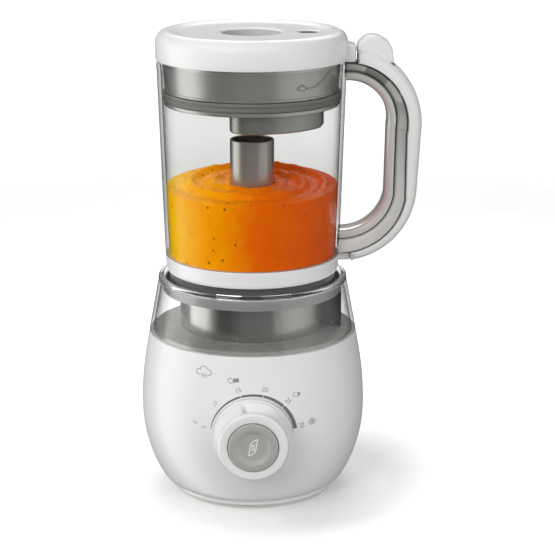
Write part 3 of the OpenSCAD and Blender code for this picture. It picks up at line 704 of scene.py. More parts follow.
# ---------------------------------------------------------------- base
def build_base():
    # White ring under the body.
    prof = rounded([(50.0, 5.4), (50.0, 9.6), (51.6, 9.6), (51.6, 7.6), (56.0, 7.6), (56.0, 3.0), (53.0, 3.0),
                    (53.0, 3.7), (47.0, 3.7), (47.0, 3.0), (0.0, 3.0), (0.0, 5.4)],
                   [0.4, 0.5, 0.5, 0, 1.3, 1.6, 0.3, 0, 0, 0.3, 0, 0])
    vents = [box_bm((x - 1, -9, 2), (x + 1, 9, 7)) for x in range(-24, 25, 6)]
    holes = []
    for k in range(4):
        a = math.radians(45 + 90 * k)
        holes.append(cyl_bm(1.9, 2, 8, at=(42 * math.cos(a), 42 * math.sin(a), 0), segs=32))
    lathe("base_plate_ring", prof, WHITE, "base", ("base_plate",), cut=vents + holes)

    # Lower housing, with a fine parting groove along its top edge.
    out = body_line(7.6, WAIST_Z - 0.1, 0, 40)
    inn = body_line(10.0, WAIST_Z - 0.25, WALL, 30)
    prof = [(out[0][0] - 0.9, 7.6)] + [(r - (0.9 * (1 - k / 3) ** 2 if k < 3 else 0), z)
                                       for k, (r, z) in enumerate(out)][1:-1]
    prof += [(out[-1][0], out[-1][1]), (out[-1][0] - 0.12, WAIST_Z)]
    prof += [(inn[-1][0], WAIST_Z)] + list(reversed(inn)) + [(52.0, 10.0), (52.0, 7.6)]
    hole = cyl_bm(BEZEL_HOLE_R, 40, 95, axis="-Y", at=(0, 0, WAIST_Z), segs=128)
    gland = cyl_bm(7.0, 50, 95, axis="Y", at=(0, 0, 40), segs=64)
    lathe("lower_housing_shell", prof, WHITE, "base", ("lower_housing",), segs=192,
          cut=(hole, gland), angle=30)

    # Upper housing up to the clear tank, its top edge softly rounded.
    out = body_line(WAIST_Z, TANK_Z, 0, 40)
    inn = body_line(WAIST_Z, TANK_Z - WALL, WALL, 30)
    top = body_r(TANK_Z)
    prof = [(out[0][0] - 0.12, WAIST_Z), (out[0][0], WAIST_Z + 0.1)] + out[1:-1]
    prof += [(top + 0.03, TANK_Z - 0.55), (top - 0.12, TANK_Z - 0.2), (top - 0.45, TANK_Z - 0.02),
             (60.0, TANK_Z - 0.02), (60.0, TANK_Z - WALL)]
    prof += list(reversed(inn))
    hole = cyl_bm(BEZEL_HOLE_R, 40, 95, axis="-Y", at=(0, 0, WAIST_Z), segs=128)
    lathe("upper_housing_shell", prof, WHITE, "base", ("upper_housing",), segs=192,
          cut=(hole,), angle=30)

    # Clear tank wall. Its rounded rim is thick enough to bend light.
    r0, r1 = body_r(TANK_Z), SEAT_R
    foot = 1.8
    pts = [(r0 - 2.2, TANK_Z + 0.05), (r0, TANK_Z + 0.05), (r0 - foot * CONE_SLOPE, TANK_Z + foot),
           (r1 + 0.15, SEAT_Z - 3.0), (r1 + 0.3, SEAT_Z), (57.9, SEAT_Z), (57.9, SEAT_Z - 2.6),
           (60.0, SEAT_Z - 2.9), (r0 - 2.2 - foot * CONE_SLOPE, TANK_Z + foot)]
    prof = rounded(pts, [0.2, 0.5, 0, 1.2, 1.9, 1.2, 0.5, 1.0, 0], seg=8)
    wall = lathe("tank_wall_clear", prof, [CLEAR, CLEAR_RIM], "base", ("tank_shell",),
                 segs=192, angle=60)
    for f in wall.data.polygons:
        f.material_index = 0 if f.center.z < (SEAT_Z - 3.2) * MM else 1


build_base()


# ---------------------------------------------------------------- knob and button
def button_face(r):
    """Height of the blend button's face above the base's axis, in mm, at a radius from its middle."""
    return KNOB_D - 0.45 + 1.85 * eased((r - 8.4) / 3.6)


def build_knob():
    # Bezel ring in the housing's hole.
    prof = rounded([(4.6, 65), (25.4, 65), (25.4, 77), (22.8, 77), (22.8, 67.4), (4.6, 67.4)],
                   [0, 0, 1.0, 0.4, 0, 0])
    lathe("knob_bezel_ring", prof, WHITE, "base", ("knob_bezel",), segs=128, axis="-Y",
          at=(0, 0, WAIST_Z))

    # Knob, with a finger dent that starts at a steep step and fades out clockwise.
    start, step, end, fade = -19.0, 9.0, 56.0, 57.6
    dent_depth, dent_z, dent_half = 4.4, 85.2, 6.4

    def dent(x, y, z, r):
        # The shape is made about Z with +Y up, so that turning it to the front keeps +Y as the top.
        if r < BUTTON_R + 1.5 or z < 79.2:
            return x, y, z
        phi = math.degrees(math.atan2(x, y))
        around = eased(min((phi - start) / step, (end - phi) / fade))
        along = max(0.0, 1.0 - abs((z - dent_z) / dent_half) ** 2.4)
        k = 1.0 - dent_depth * around * along / r
        return x * k, y * k, z

    foot_r, foot_z, rise, steps, edge = 24.6, 79.0, 14.2, 26, 1.9
    back_z, floor_z, groove_z = 77.4, 82.0, 78.9
    outer = [(foot_r, back_z), (foot_r, 78.6)]
    outer += [(foot_r - (foot_r - KNOB_R) * i / steps, foot_z + rise * i / steps) for i in range(steps)]
    lip = [(KNOB_R - edge + edge * c, KNOB_D - edge + edge * s) for s, c in quarter(8)]
    # The well's floor has a groove for the end of the button's spring.
    well = BUTTON_R + 0.35
    inner = [(well + 0.7, KNOB_D), (well + 0.2, KNOB_D - 0.2), (well, KNOB_D - 0.7), (well, floor_z),
             (8.9, floor_z), (8.9, groove_z), (7.1, groove_z), (7.1, floor_z), (4.05, floor_z), (4.05, 68.5),
             (7.0, 68.5), (7.0, back_z), (9.7, back_z), (9.7, 79.4), (22.0, 79.4), (22.0, back_z)]
    lathe("control_knob_white", outer + lip + inner, WHITE, "knob", ("control_knob",),
          segs=360, axis="-Y", at=(0, 0, WAIST_Z), move=dent, angle=40)

    # Grey blend button: flat rim round a shallow well with soft walls.
    face = KNOB_D + 1.4
    top = [(BUTTON_R, 87.0), (BUTTON_R, face - 0.9), (BUTTON_R - 0.26, face - 0.27), (BUTTON_R - 0.9, face),
           (12.4, face)]
    dish = [(12.2 * (1 - k / 24), button_face(12.2 * (1 - k / 24))) for k in range(25)]
    prof = top + dish + [(0, 90.0), (13.0, 90.0), (13.0, 87.0)]
    lathe("blend_button_grey", prof, GREY, "button", ("blend_button",), segs=128, axis="-Y",
          at=(0, 0, WAIST_Z), angle=50)


build_knob()


# ---------------------------------------------------------------- tank and seat
def build_seat():
    prof = rounded([(57.6, 138.5), (59.0, 138.5), (59.0, 143.7), (57.6, 143.7)], [0.2, 0.2, 0.5, 0.5], seg=4)
    lathe("seat_ring_grey", prof, SEAT_GREY, "base", ("seat_ring",))
    cad("jar_seat", SEAT_GREY)
    r = body_r(TANK_Z) - 2.5
    prof = rounded([(46.0, TANK_Z), (r, TANK_Z), (body_r(111.5) - 2.5, 111.5), (48.0, 111.5), (48.0, 112.0),
                    (46.0, 112.0)], [0, 0.2, 0.9, 0, 0, 0], seg=4)
    lathe("tank_floor_grey", prof, TANK_FLOOR, "base", ("tank_base",))
    # Inner wall of the tank, with its flat back.
    wall, inner = [arc((0, 0), r, math.degrees(math.asin(flat / r)),
                       -180 - math.degrees(math.asin(flat / r)), 90)
                   for r, flat in ((48.0, 28), (46.0, 26))]
    bm = slab_z_bm(rounded(wall, [1.2] + [0] * 89 + [1.2], 4), 111.45, 136.5)
    core_cut = slab_z_bm(inner, 100, 150)
    finish_mesh("tank_core_grey", carved(bm, [core_cut]), TANK_GREY, "base", (), 40)
    cad("filler_cap", SEAT_GREY)


build_seat()


# ---------------------------------------------------------------- jar
def build_jar():
    top, heights = JAR_Z1, range(175, 281, 15)
    ro, ri = JAR_R1, JAR_R1 - WALL
    prof = [(JAR_R0 - WALL, 161.02), (JAR_R0, 161.02)]
    prof += [(jar_r(z), z) for z in heights]
    prof += rounded([(ro, top - 2), (ro, top), (ri, top), (ri, top - 2)], [0, 0.9, 0.9, 0], seg=6)
    prof += [(jar_r(z) - WALL, z) for z in reversed(heights)]
    lathe("jar_wall_clear", prof, CLEAR_JAR, "jar", ("jar_wall",), segs=224, angle=60)

    prof = rounded([(51.6, 150.0), (55.6, 150.0), (56.5, 152.2), (57.2, 159.6), (57.2, 160.98),
                    (51.6, 160.98)],
                   [0.3, 1.4, 3.0, 0, 0.25, 0.2], seg=8)
    ring = lathe_bm(prof, 224)
    lug = box_bm((56.0, -4, 155.6), (64.4, 4, 160.6), 1.2, 4)
    finish_mesh("jar_base_white", joined(ring, lug), WHITE, "jar", ("jar_base",), 40)
    cad("jar_floor", WHITE_SATIN)
    # The collar's dark is partly the part's own colour and partly painted shade in the gap between the jar
    # and the seat.
    cad("jar_collar", DARK)


def puree_material(name, gloss):
    """Cooked purée with fibres and a few dark specks. It runs from yellow on the left to red-orange on the
    right, partly its own hue and partly painted light from the left. It also glows in its own colour, most on
    the yellow side, which is painted light.
    """
    m, nt, b, _ = new_mat(name)
    # Painted light: a gradient along object X makes the left side yellower and brighter, laid over the
    # purée's own random tone.
    side = range_node(nt, coordinates(nt)["X"], -0.055, 0.055, 0.0, 0.65)
    ripeness_and_painted_light = math_node(nt, "MULTIPLY_ADD", noise_node(nt, 20.0, 3.0, 0.55, distortion=0.6), 0.35, side)
    flesh = ramp_node(nt, ripeness_and_painted_light, [(0.10, (1.0, 0.74, 0.005)), (0.30, (1.0, 0.42, 0.002)),
                                 (0.52, (1.0, 0.18, 0.001)), (0.85, (0.92, 0.105, 0.001))])
    fine = noise_node(nt, 900.0, 4.0, 0.65)
    fibre = ramp_node(nt, fine, [(0.35, (0.88, 0.82, 0.78)), (0.60, (1, 1, 1))])
    cells = nt.nodes.new("ShaderNodeTexVoronoi")
    feed(nt, cells, {"Vector": nt.nodes.new("ShaderNodeTexCoord").outputs["Object"], "Scale": 120.0,
                     "Randomness": 1.0})
    speck = range_node(nt, cells.outputs["Distance"], 0.090, 0.120, 1.0, 0.0)
    # Painted light: the purée glows in its own colour, most where it is yellow, though it is no lamp.
    glow = ramp_node(nt, ripeness_and_painted_light, [(0.10, (0.30, 0.20, 0.0)), (0.30, (0.26, 0.10, 0.0)),
                                (0.52, (0.05, 0.008, 0.0)), (0.85, (0.03, 0.002, 0.0))])
    surface(nt, b, fine, 0.20, 0.34, noise_node(nt, 160.0, 3.0, 0.6), 0.35, 0.0006,
            under=bump_node(nt, fine, 0.25, 0.0002))
    feed(nt, b, {"Base Color": mix_colors(nt, speck, multiply(nt, flesh, fibre), (0.10, 0.03, 0.012, 1)),
                 "Emission Color": glow, "Emission Strength": 1.0, "Subsurface Weight": 0.35,
                 "Subsurface Radius": (0.006, 0.0025, 0.0008), "IOR": 1.4, "Specular IOR Level": gloss})
    return m


def puree_height(r, a):
    """Height of the swirled surface in mm."""
    t = min(1.0, max(0.0, (r - 15) / 38))
    edge = min(1.0, max(0.0, (54.5 - r) / 9.0))
    phase = a + 0.42 * r + 0.5 * math.sin(2 * a + 0.6)
    wave = (0.5 + 0.5 * math.sin(phase)) ** 1.7
    ridge = 5.0 * wave * edge * (0.35 + 0.65 * t)
    base = 206.6 + 1.9 * (1 - t) ** 1.5 + 2.3 * math.sin(a + 0.2) * t
    p = Vector((r * math.cos(a) * 0.06, r * math.sin(a) * 0.06, 0.3))
    rough = 1.4 * noise.fractal(p, 0.9, 2.2, 3) * edge
    fine = 0.55 * noise.fractal(p * 5.0, 0.9, 2.1, 3) * min(1.0, edge + 0.2)
    return base + ridge - 1.0 * edge + rough + fine


def build_puree():
    """Food as one mass: up the jar's wall, over the swirled top and down round the blade tube."""
    segs, steps, well_r, floor_r, dip_z = 240, 64, 14.75, 45.4, 203.0
    angles = [2 * math.pi * k / segs for k in range(segs)]
    bm = bmesh.new()

    def wall_r(z):
        return jar_r(z) - WALL - FOOD_GAP

    def ring(points):
        return [bm.verts.new((r * math.cos(a) * MM, r * math.sin(a) * MM, z * MM))
                for a, (r, z) in zip(angles, points)]

    outline = [(floor_r, 161.3), (JAR_R0 - WALL - FOOD_GAP, 161.3)]
    outline += [(wall_r(z), z) for z in (166, 172, 178, 184, 190, 196, 201)]
    rings = [ring([point] * segs) for point in outline]
    edge = [puree_height(54.0, a) for a in angles]
    for part, inset in ((0.0, 0.0), (0.4, 0.0), (0.75, 0.12)):
        heights = [dip_z + (z - dip_z) * part for z in edge]
        rings.append(ring([(wall_r(z) - inset, z) for z in heights]))
    top_r = wall_r(205) - 0.5
    for s in range(steps + 1):
        r = top_r + (well_r - top_r) * s / steps
        rings.append(ring([(r, puree_height(r, a)) for a in angles]))
    rings += [ring([point] * segs) for point in ((well_r, 190.0), (well_r, 175.0), (floor_r, 175.0))]
    skin(bm, rings, closed=True)
    for f in bm.faces:
        f.material_index = 1 if min(v.co.z for v in f.verts) > (dip_z + 0.5) * MM else 0
    mats = [puree_material("puree_side_mat", 0.0), puree_material("puree_top_mat", 0.08)]
    finish_mesh("vegetable_puree", bm, mats, "jar", (), 60)


build_jar()
build_puree()


# ---------------------------------------------------------------- handle
OUTER = ((60, 247, 50), (57.5, 205.5, 50))
SPLIT = ((61, 247.5, 39.6), (57, 205, 43.4))
INNER = ((62, 250, 25.3), (58, 206, 28.5))
LOCK_OUTLINE = [(68.2, 291.5), (68.2, 298.5), (70.8, 301.7), (73.9, 303.8), (77, 304.3), (81, 303.6),
                (84.9, 301.6),
                (88.1, 299.1), (90, 295.6), (90.6, 291.6), (90.6, 286.8), (84, 285.4), (76, 286.6)]
LOCK_POCKET = [(60, 290.6), (60, 310), (100, 310), (91.6, 297), (91.6, 283.4), (84, 283.4), (75.6, 285.6),
               (69.6, 288.6)]


def jar_cutter(gap):
    prof = [(0, 140), (JAR_R0 + gap, 140), (JAR_R0 + gap, 161), (jar_r(300) + gap, 300), (0, 300)]
    return lathe_bm(prof, 160)


def band(pair_out, grow_out, pair_in, grow_in, ends_out, ends_in):
    a = loop_line(*pair_out, *ends_out, grow=grow_out)
    b = loop_line(*pair_in, *ends_in, grow=grow_in)
    return a, list(reversed(b))


def build_handle():
    a, b = band(OUTER, 0, SPLIT, 0.12, (67.9, 64.6), (67.9, 64.6))
    rims = [6.4] * len(a) + [0.7] * len(b)
    rims[0] = rims[len(a) - 1] = 3.0
    bm = crowned_bm(a + b, rims, 12.5, 9.0, 10, True)
    ends = [cyl_bm(67.6, 200, 320, segs=160), prism_bm(LOCK_POCKET, -8.2, 8.2)]
    finish_mesh("handle_grip_white", carved(bm, ends), WHITE, "jar", ("handle_grip",), 32)

    a, b = band(SPLIT, 0, INNER, 6.1, (50.0, 50.0), (50.0, 50.0))
    rims = [1.2] * len(a) + [2.6] * len(b)
    bm = carved(crowned_bm(a + b, rims, 10.5, 4.6, 8, True), [jar_cutter(0.04)])
    finish_mesh("handle_core_smoke", bm, SMOKE, "jar", ("handle_core",), 35)

    a, b = band(INNER, 6.07, INNER, 0, (50.0, 50.0), (50.0, 50.0))
    rims = [1.4] * len(a) + [3.2] * len(b)
    bm = carved(crowned_bm(a + b, rims, 10.0, 4.6, 8, True), [jar_cutter(0.04)])
    finish_mesh("handle_liner_smoke", bm, SMOKE_LIGHT, "jar", ("handle_liner",), 35)

    # Thumb lock.
    smooth = smooth_outline(LOCK_OUTLINE, 6)
    bm = crowned_bm(smooth, [2.0] * len(smooth), 8.0, 2.4, 8)
    lock = finish_mesh("lid_lock_white", bm, WHITE, "lock", ("lid_lock",), 40)
    for f in lock.data.polygons:
        f.use_smooth = abs(f.normal.y) < 0.999

    # Its pin, whose ends stop short of the grip's crowned sides.
    lo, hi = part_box("lid_lock_pin")
    r, half = (hi[2] - lo[2]) / 2 / MM, 10.4
    at = ((lo[0] + hi[0]) / 2 / MM, 0, (lo[2] + hi[2]) / 2 / MM)
    prof = rounded([(0, -half), (r, -half), (r, half), (0, half)], [0, 0.3, 0.3, 0], seg=3)
    lathe("lid_lock_pin_steel", prof, STEEL, "jar", ("lid_lock_pin",), segs=32, axis="-Y", at=at)


build_handle()


# ---------------------------------------------------------------- blade unit
def build_blades():
    pts = [(12.8, TUBE_Z), (16.6, TUBE_Z), (16.6, 172.6), (TUBE_R, 172.6), (TUBE_R, TUBE_TOP),
           (12.8, TUBE_TOP), (12.8, 205.0), (0, 205.0), (0, 199.0), (12.8, 199.0)]
    prof = rounded(pts, [0.3, 0.6, 0.8, 1.2, 0.95, 0.55, 1.0, 0, 0, 0], seg=6)
    tube = lathe("blade_tube_grey", prof, [GREY_TUBE, DARK], "blades", ("blade_tube",),
                 segs=128, angle=40)
    # Painted shade: the tube's inner wall above the web gets the dark plastic, which stands in for the shade
    # down the hollow.
    for f in tube.data.polygons:
        c = f.center
        if math.hypot(c.x, c.y) < 0.01285 and 0.2049 < c.z < 0.2356:
            f.material_index = 1
    cad("blade_ring", STEEL)


build_blades()


# ---------------------------------------------------------------- lid
def build_lid():
    prof = [(59.6, LID_Z), (61.2, LID_Z), (61.7, LID_Z + 0.2), (61.9, LID_Z + 0.7), (61.9, 296.0)]
    prof += [(54.2 + 7.7 * c ** 0.92, 299.6 + 7.9 * s ** 0.96) for s, c in quarter(16)]
    prof += [(54.2 - 9.7 * k / 12, 307.5 - 1.5 * eased(k / 12)) for k in range(1, 13)]
    prof += [(40.0, 305.97), (30.0, 305.95), (23.0, 305.95)]
    prof += [(20.7 - 1.2 * s, 304.75 + 1.2 * c) for s, c in quarter(6)]
    prof += [(19.5, 295.05), (21.7, 295.05), (21.7, 303.4), (55.0, 303.4), (58.6, 300.6), (59.5, 298.5)]
    hole = cyl_bm(STEAM_R, 280, 315, at=(STEAM_X, 0, 0), segs=80, flare=306.0, fillet=1.1)
    notch = box_bm((52.2, 1.5, 303.2), (58.2, 10.5, 312), 0.8, 3)
    bm = carved(lathe_bm(prof, 224), [hole, notch])
    tongue = [(59.0, 287.7), (70.0, 287.7), (70.0, 297.0), (59.0, 299.4)]
    tb = crowned_bm(tongue, [0.9] * len(tongue), 11.6, 1.3, 6)
    tb = carved(tb, [lathe_bm([(66.95, 280), (90, 280), (90, 310), (66.95, 310)], 160)])
    finish_mesh("lid_cover_white", bm, WHITE, "lid", ("lid_cover",), 32)
    finish_mesh("lid_tongue_white", tb, WHITE, "lid", (), 40)

    # Wall of the steam hole, down to the grey inner lid. Its dark seal grey is painted shade down the hole.
    prof = [(STEAM_R - 0.4, 295.05), (STEAM_R + 1.8, 295.05), (STEAM_R + 1.8, 303.35),
            (STEAM_R - 0.02, 303.35), (STEAM_R - 0.02, 305.2), (STEAM_R - 0.4, 305.2)]
    lathe("lid_steam_collar", prof, SEAL, "lid", (), segs=80, at=(STEAM_X, 0, 0))
    # Pale grey lining over the white wall of the middle recess: painted shade inside the recess.
    prof = [(19.1, 295.05), (19.48, 295.05), (19.48, 304.9), (19.3, 304.9), (19.1, 304.6)]
    lathe("lid_recess_painted_shade", prof, RECESS_SHADE_GREY, "lid", ())

    # Grey inner lid with its skirt, groove and lower lip.
    pts = [(51.6, 260.0), (57.0, 260.0), (57.0, 262.6), (54.2, 262.6), (54.2, 268.8), (56.05, 268.8),
           (56.1, 270.1), (55.8, 270.3), (55.8, 270.55), (56.15, 270.75), (57.6, 289.2), (59.2, 289.2),
           (59.2, 295.0), (0.0, 295.0), (0.0, 292.0), (54.8, 292.0), (54.8, 289.0), (52.2, 268.8)]
    rad = [0.8, 0.7, 0.5, 0.2, 0.2, 0.35, 0.15, 0.0, 0.0, 0.15, 0.2, 0.2, 0.3, 0, 0, 0.3, 0.3, 1.0]
    hole = cyl_bm(STEAM_R, 285, 300, at=(STEAM_X, 0, 0), segs=64)
    skirt = carved(lathe_bm(rounded(pts, rad, 4), 224), [hole])
    # Oval lug on the skirt.
    lug = bmesh.new()
    bmesh.ops.create_uvsphere(lug, u_segments=28, v_segments=14, radius=1.0)
    for v in lug.verts:
        x, y, z = v.co
        v.co = Vector((x, y * 3.1, z * 2.0)) * MM
    bmesh.ops.translate(lug, verts=lug.verts, vec=Vector((56.9, 0, 277)) * MM)
    bmesh.ops.rotate(lug, verts=lug.verts, cent=(0, 0, 0), matrix=Matrix.Rotation(math.radians(-57), 3, "Z"))
    # Ramp that leads up to the rim.
    path = []
    for az, z in ((37, 276.4), (41, 276.3), (44.5, 277.0), (47.5, 278.6), (52, 281.2), (58, 284.0),
                  (66, 287.6)):
        a = math.radians(az - 90)
        r = 56.15 + (z - 270.7) / 18.4 * 1.45
        path.append((r * math.cos(a) * MM, r * math.sin(a) * MM, z * MM))
    ramp = tube_bm(path, 0.62 * MM)
    finish_mesh("lid_skirt_grey", joined(skirt, lug, ramp), GREY_SKIRT, "lid",
                ("lid_skirt",), 38)

    # Steam chamber under it.
    a1 = math.degrees(math.acos(46 / 51.0))
    front = arc((-2, -38.95), 12.0, 180.0, 267.06, 14)[:-1] + arc((0, 0), 51.0, -92.94, -a1 - 4.5, 38)
    pts = [(-14, 20)] + front + [(46, -16.0), (46, 16.5), (44.0, 20)]
    chamber = slab_z_bm(rounded(pts, [2.5] + [0] * len(front) + [3.5, 2.5, 2.0], 5), 248.0, 291.9, 1.8, 0.0,
                        6)
    slot_cut = box_bm((0, -34, 240), (30, -26, 251), 0.6, 2)
    finish_mesh("steam_chamber_grey", carved(chamber, [slot_cut]), GREY_CHAMBER, "lid",
                ("steam_chamber",), 38)
    cad("lid_seal", SEAL)


build_lid()


# ---------------------------------------------------------------- print on the base
def on_base(x, z, lift):
    """Point on the base's front surface, in mm, lifted off it."""
    r = body_r(z) + lift
    return Vector((x * MM, -math.sqrt(max(r * r - x * x, 0.0)) * MM, z * MM))


def on_button(x, z, lift):
    return Vector((x * MM, -(button_face(math.hypot(x, z - WAIST_Z)) + lift) * MM, z * MM))


def stroke(bm, points, width, place_at, lift, closed=False, steps=3):
    """Flat stroke through (x, z) points, laid on a surface."""
    pts = [Vector(p) for p in points]
    n = len(pts)
    rows = []
    for i, p in enumerate(pts):
        t = Vector((0.0, 0.0))
        if closed or i < n - 1:
            t += (pts[(i + 1) % n] - p).normalized()
        if closed or i > 0:
            t += (p - pts[i - 1]).normalized()
        t.normalize()
        side = Vector((-t.y, t.x)) * (width[i] if isinstance(width, list) else width) / 2
        rows.append([bm.verts.new(place_at(*(p - side + side * 2 * k / steps), lift))
                     for k in range(steps + 1)])
    for a, b in zip(rows, rows[1:] + rows[:1] if closed else rows[1:]):
        for k in range(steps):
            bm.faces.new((a[k], a[k + 1], b[k + 1], b[k]))


def digits(bm, text, size, at, turn, place_at, lift):
    """Plain digits, turned by an angle in degrees clockwise, centred on a point."""
    cu = bpy.data.curves.new("tmp_text", "FONT")
    cu.body = text
    cu.size = size
    cu.align_x = "CENTER"
    cu.align_y = "CENTER"
    cu.resolution_u = 4
    o = bpy.data.objects.new("tmp_text", cu)
    bpy.context.scene.collection.objects.link(o)
    me = applied_mesh(o)
    c, s = math.cos(math.radians(-turn)), math.sin(math.radians(-turn))
    verts = []
    for v in me.vertices:
        x, y = v.co.x, v.co.y
        verts.append(bm.verts.new(place_at(at[0] + x * c - y * s, at[1] + x * s + y * c, lift)))
    for p in me.polygons:
        try:
            bm.faces.new([verts[i] for i in p.vertices])
        except ValueError:
            pass
    bpy.data.objects.remove(o)
    bpy.data.curves.remove(cu)
    bpy.data.meshes.remove(me)


def ring_points(c, r, n):
    """n points round a full circle."""
    return arc(c, r, 0.0, 360.0, n)[:-1]


def polar(angle, r):
    """Point on the dial: angle in degrees clockwise from the top."""
    return (r * math.sin(math.radians(angle)), WAIST_Z + r * math.cos(math.radians(angle)))


def build_print():
    dark, mid, light, white = bmesh.new(), bmesh.new(), bmesh.new(), bmesh.new()
    n = 96
    angles = [-82 + 164 * k / n for k in range(n + 1)]
    width = [0.42 + 2.0 * (k / n) ** 0.85 for k in range(n + 1)]
    stroke(dark, [polar(a, 27.2) for a in angles], width, on_base, 0.05)
    for a in (-17, 14, 45):
        stroke(white, [polar(a, 25.9), polar(a, 28.6)], 0.34, on_base, 0.09)
    for text, a, bm in (("5", -82, light), ("10", -50, light), ("15", -17, mid), ("20", 14, mid),
                        ("25", 45, mid), ("30", 80, mid)):
        digits(bm, text, 4.0, polar(a, 31.6), a, on_base, 0.06)
    digits(light, "0", 4.0, polar(-80, 37.6), -80, on_base, 0.06)

    def draw(points, width, closed=False):
        stroke(mid, points, width, on_base, 0.06, closed)

    # Steam cloud.
    cx, cz = -31.2, 98.2
    cloud = []
    for dx, dz, r, a0, a1 in ((-2.9, -0.3, 1.75, 250, 60), (0.1, 1.3, 2.3, 165, 20),
                              (3.1, -0.2, 1.7, 95, -75)):
        cloud += arc((cx + dx, cz + dz), r, a0, a1, 10)
    for line in (cloud, [cloud[0], (cx - 1.9, cz - 2.0)], [cloud[-1], (cx + 2.3, cz - 1.9)]):
        draw(line, 0.42)
    for dx in (-1.1, 0.2, 1.5):
        line = [(cx + dx + 0.28 * math.sin(t * 1.9), cz - 3.6 + t) for t in [k * 0.32 for k in range(9)]]
        draw(line, 0.40)

    # Small signs for sliced, diced and mixed food.
    c = polar(-18.5, 38.2)
    draw(ring_points((c[0] - 1.9, c[1]), 1.55, 20), 0.42, closed=True)
    draw([(c[0] - 0.1, c[1] + 0.1), (c[0] + 3.2, c[1] + 0.6)], 2.5)
    c = polar(46.0, 37.8)
    q = [(-1.5, -1.3), (1.0, -1.9), (1.5, 0.5), (-1.0, 1.1)]
    draw([(c[0] + x, c[1] + z) for x, z in q], 0.40, closed=True)
    draw([(c[0] + 1.9, c[1] - 1.2), (c[0] + 2.2, c[1] + 0.9)], 1.5)
    c = polar(80.0, 38.4)
    for k in range(6):
        a = math.radians(60 * k)
        draw(ring_points((c[0] + 1.75 * math.cos(a), c[1] + 1.75 * math.sin(a)), 0.55, 12), 0.34, closed=True)
    draw(ring_points(c, 0.5, 12), 0.5, closed=True)
    for name, bm, mat in (("dial_print_dark", dark, INK_DARK), ("dial_print_mid", mid, INK_MID),
                          ("dial_print_light", light, INK_LIGHT), ("dial_print_ticks", white, INK_WHITE)):
        finish_mesh(name, bm, mat, "base",
                    (), 60, recalc=False)

    # Blade sign on the button: two swept leaves about a small ring.
    sign = bmesh.new()
    half = [(-2.0, 0.0), (-1.55, 2.0), (-0.2, 3.9), (2.6, 5.3), (2.75, 4.6), (2.35, 2.4)]
    outline = smooth_outline([(x, WAIST_Z + z) for x, z in half + [(-x, -z) for x, z in half]], 6)
    stroke(sign, outline, 0.62, on_button, 0.05, closed=True)
    stroke(sign, ring_points((0, WAIST_Z), 1.0, 20), 0.55, on_button, 0.08, closed=True)
    for s in (1, -1):
        stroke(sign, [(-1.5 * s, WAIST_Z + 1.35 * s), (2.0 * s, WAIST_Z + 1.9 * s)], 0.45, on_button, 0.07)
    finish_mesh("blend_sign_white", sign, INK_WHITE, "button", (), 60, recalc=False)


build_print()


# ---------------------------------------------------------------- stage, lights and camera
def floor_material():
    """Nearly white floor. Its glow is dim round the foot, which keeps the shadow, and evens out the lamps. A
    dimmer ring farther out is painted shade, which greys the floor seen through the jar.
    """
    m, nt, b, _ = new_mat("floor_mat")
    tone = ramp_node(nt, noise_node(nt, 3.0, 2.0, 0.5), greys((0.3, 0.88), (0.7, 0.9)))
    away = nt.nodes.new("ShaderNodeVectorMath")
    away.operation = "DISTANCE"
    feed(nt, away, {0: nt.nodes.new("ShaderNodeTexCoord").outputs["Object"], 1: (0.018, 0.0, 0.0)})
    # Painted shade: the glow dips between about 0.34 and 0.65 of the ramp, on the floor seen through the jar.
    glow = ramp_node(nt, range_node(nt, away.outputs["Value"], 0.0, 2.0),
                     greys((0.040, 0.12), (0.062, 0.42), (0.090, 0.76), (0.20, 0.55), (0.34, 0.38),
                           (0.42, 0.16), (0.48, 0.16), (0.65, 0.46), (1.0, 0.85)))
    feed(nt, b, {"Base Color": tone, "Roughness": 0.9, "Specular IOR Level": 0.1, "Emission Color": glow,
                 "Emission Strength": 1.0})
    return m


def build_stage():
    """Floor. Mirrors and bounced light leave it out."""
    bm = bmesh.new()
    s = 9.0
    bm.faces.new([bm.verts.new(p) for p in ((-s, -s, 0), (s, -s, 0), (s, s, 0), (-s, s, 0))])
    o = mesh_object("floor", bm)
    o.data.materials.append(floor_material())
    o.visible_glossy = False
    o.visible_diffuse = False


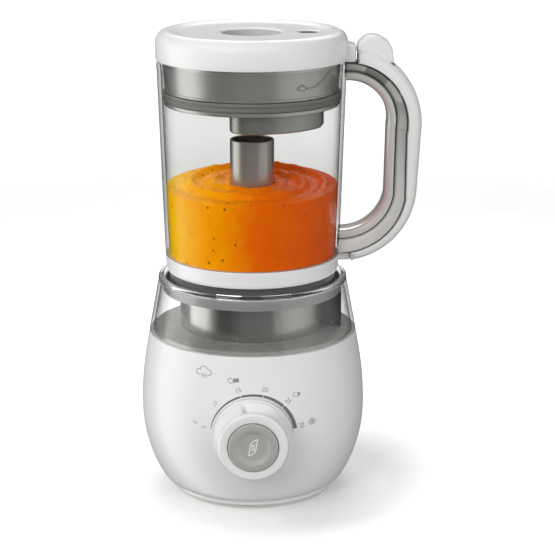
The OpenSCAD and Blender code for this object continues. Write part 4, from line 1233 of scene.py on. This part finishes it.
def area(name, loc, target, w, h, power, mirrored=False):
    """Rectangular lamp aimed at a point. Only a mirrored one shows in glossy surfaces."""
    li = bpy.data.lights.new(name, "AREA")
    li.shape = "RECTANGLE"
    li.size = w
    li.size_y = h
    li.energy = power
    o = bpy.data.objects.new(name, li)
    o.location = loc
    o.rotation_euler = (Vector(target) - Vector(loc)).to_track_quat("-Z", "Y").to_euler()
    o.visible_glossy = mirrored
    bpy.context.scene.collection.objects.link(o)


def build_world():
    """Surroundings: dark panels low down, a bright one left, a dim one right. Grey above."""
    w = bpy.data.worlds.new("studio")
    bpy.context.scene.world = w
    w.use_nodes = True
    nt = w.node_tree
    look = coordinates(nt, "Generated")
    azimuth = math_node(nt, "ARCTAN2", look["X"], math_node(nt, "MULTIPLY", look["Y"], -1.0))
    panels = [(-180, 0.10), (-120, 0.14), (-112, 3.8), (-80, 3.6), (-66, 0.7), (-54, 0.10), (-36, 0.12),
              (-12, 0.36), (33.5, 0.42), (34.5, 1.0), (70, 1.5), (100, 1.2), (124.5, 0.10), (180, 0.10)]
    low = ramp_node(nt, range_node(nt, azimuth, -math.pi, math.pi),
                    greys(*[((a + 180) / 360, v) for a, v in panels]))
    high = ramp_node(nt, range_node(nt, look["Z"], 0.0, 1.0), greys((0.0, 0.30), (0.5, 0.48), (1.0, 0.80)))
    feed(nt, nt.nodes["Background"],
         {0: mix_colors(nt, range_node(nt, look["Z"], 0.05, 0.40), low, high), 1: 0.6})


def build_lights():
    build_world()
    area("key_front_left", (-0.80, -1.3, 0.85), (0, 0, 0.08), 0.9, 0.9, 14)
    area("fill_front_right", (0.8, -1.3, 0.55), (0, 0, 0.10), 1.1, 0.9, 5.2)
    area("side_left", (-1.15, -0.35, 1.3), (0, 0, 0.05), 0.5, 0.5, 4)
    area("back_soft", (0.1, 1.2, 1.25), (0, 0, 0.2), 1.2, 0.8, 10.5, mirrored=True)


def build_camera():
    cam = bpy.data.cameras.new("camera")
    cam.sensor_width = 36.0
    cam.lens = 1777.8 / 555 * 36.0
    cam.clip_start = 0.05
    cam.clip_end = 60
    o = bpy.data.objects.new("camera", cam)
    o.location = (0.0001, -1.1388, 0.4545)
    o.rotation_euler = (math.radians(90 - 15.31), 0, math.radians(-0.83))
    bpy.context.scene.collection.objects.link(o)
    bpy.context.scene.camera = o


build_stage()
build_lights()
build_camera()
bpy.context.scene.view_settings.view_transform = "Standard"
bpy.context.scene.view_settings.look = "None"
